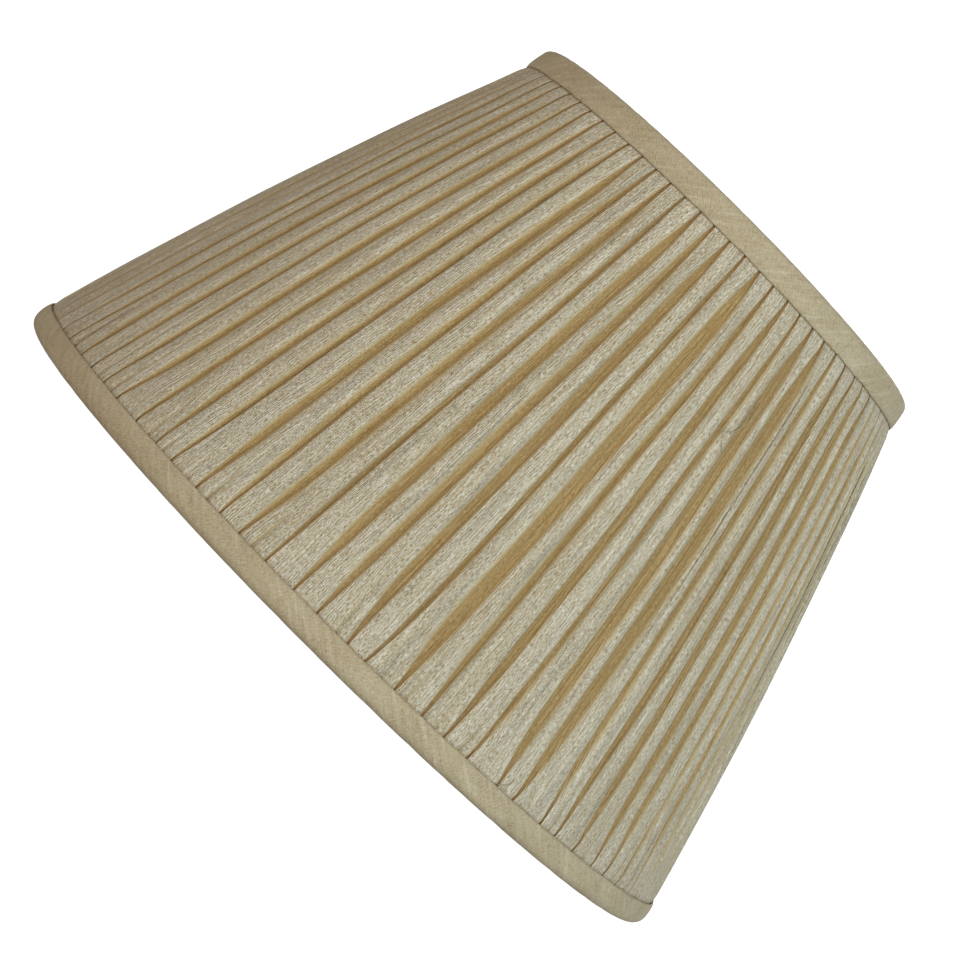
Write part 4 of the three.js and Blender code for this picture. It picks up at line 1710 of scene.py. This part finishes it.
@dataclass
class Studio:
    """A pale floor, soft light and the camera, which is rolled to its left."""

    form: ShadeForm
    camera_distance: float = 1122.6
    camera_height: float = 95.0
    pitch_degrees: float = -1.195
    yaw_degrees: float = -0.275
    roll_degrees: float = 45.0
    lens: float = 115.5
    sensor: float = 36.0
    floor_size: float = 60.0
    floor_drop: float = 0.2
    ambient: float = 0.25
    backdrop: float = 1.3
    lights: Tuple[SoftLight, ...] = (
        SoftLight("key", (0.9, -1.5, 0.62), 1.0, 17.4, (0.905, 0.995, 0.985)),
        SoftLight("fill", (-1.5, -1.3, 0.5), 1.4, 9.8, (1.0, 0.77, 0.5)),
        SoftLight("back", (0.3, 1.7, 0.9), 1.4, 10.0, (1.0, 0.98, 0.95)),
    )

    def floor(self) -> None:
        """The floor, with its far edge out of sight."""
        floor = Bench.start(
            "studio_floor", bpy.ops.mesh.primitive_grid_add, x_subdivisions=8, y_subdivisions=8,
            size=self.floor_size, location=(0, 0, -self.floor_drop * MM),
        )
        Bench.clear()
        floor.data.materials.append(StudioFloorFinish().make("studio_floor_finish"))

    def world(self) -> None:
        """Even white light from all round, with a brighter white behind the shade."""
        world = bpy.data.worlds.new("studio_world")
        world.use_nodes = True
        bpy.context.scene.world = world
        nodes, links = world.node_tree.nodes, world.node_tree.links
        background = nodes["Background"]
        background.inputs["Color"].default_value = (1, 1, 1, 1)
        seen = nodes.new("ShaderNodeLightPath")
        strength = nodes.new("ShaderNodeMapRange")
        strength.inputs["To Min"].default_value = self.ambient
        strength.inputs["To Max"].default_value = self.backdrop
        links.new(seen.outputs["Is Camera Ray"], strength.inputs["Value"])
        links.new(strength.outputs["Result"], background.inputs["Strength"])

    def lamps(self) -> None:
        """The soft lights."""
        target = Vector((0, 0, self.form.height * MM / 2))
        for light in self.lights:
            data = bpy.data.lights.new(light.name, "AREA")
            data.shape = "SQUARE"
            data.size = light.size
            data.energy = light.watts
            data.color = light.colour
            lamp = add_object(light.name, data)
            lamp.location = light.place
            lamp.rotation_euler = (target - lamp.location).to_track_quat("-Z", "Y").to_euler()

    def camera(self) -> None:
        """The camera, level with the shade's middle and rolled."""
        pitch, yaw = math.radians(self.pitch_degrees), math.radians(self.yaw_degrees)
        forward = Vector((-math.sin(yaw) * math.cos(pitch), math.cos(yaw) * math.cos(pitch), math.sin(pitch)))
        data = bpy.data.cameras.new("camera")
        data.lens = self.lens
        data.sensor_width = self.sensor
        camera = add_object("camera", data)
        place = Matrix.Translation((0, -self.camera_distance * MM, self.camera_height * MM))
        look = forward.to_track_quat("-Z", "Y").to_matrix().to_4x4()
        camera.matrix_world = place @ look @ Matrix.Rotation(math.radians(self.roll_degrees), 4, "Z")
        bpy.context.scene.camera = camera

    def build(self) -> None:
        """Sets up the studio."""
        view = bpy.context.scene.view_settings
        view.view_transform = "Standard"
        view.look = "None"
        self.camera()
        self.world()
        self.lamps()
        self.floor()


# ---- the whole shade -----------------------------------------------------------------------------


def main() -> None:
    """Builds the shade and the studio."""
    logging.basicConfig(level=logging.INFO, format="%(name)s: %(message)s")
    form = ShadeForm()
    Studio(form).build()
    WireFrame(form).build()
    Gimbal(form).build()
    Lining(form).build()
    PleatedCover(form).build()
    BiasBinding(
        "bottom_bias_binding", "bottom_binding", outer_radius=151.0, inner_radius=142.6, outer_leaf=9.5,
        inner_leaf=form.hem_height, edge_height=0.0, upwards=False, bulge=1.0, corner=3.4,
        join_angle=math.radians(-22), seed=3,
    ).build()
    BiasBinding(
        "top_bias_binding", "top_binding", outer_radius=91.7, inner_radius=83.6, outer_leaf=10.0,
        inner_leaf=form.hem_height, edge_height=form.height, upwards=True, bulge=0.5, corner=2.8,
        join_angle=math.radians(128), seed=4, lean=2.3, columns=410,
    ).build()
    neatener = Neatener(form)
    neatener.build("right", 0.0)
    neatener.build("left", math.pi)
    LooseThreads(form).build()


if __name__ == "__main__":
    main()
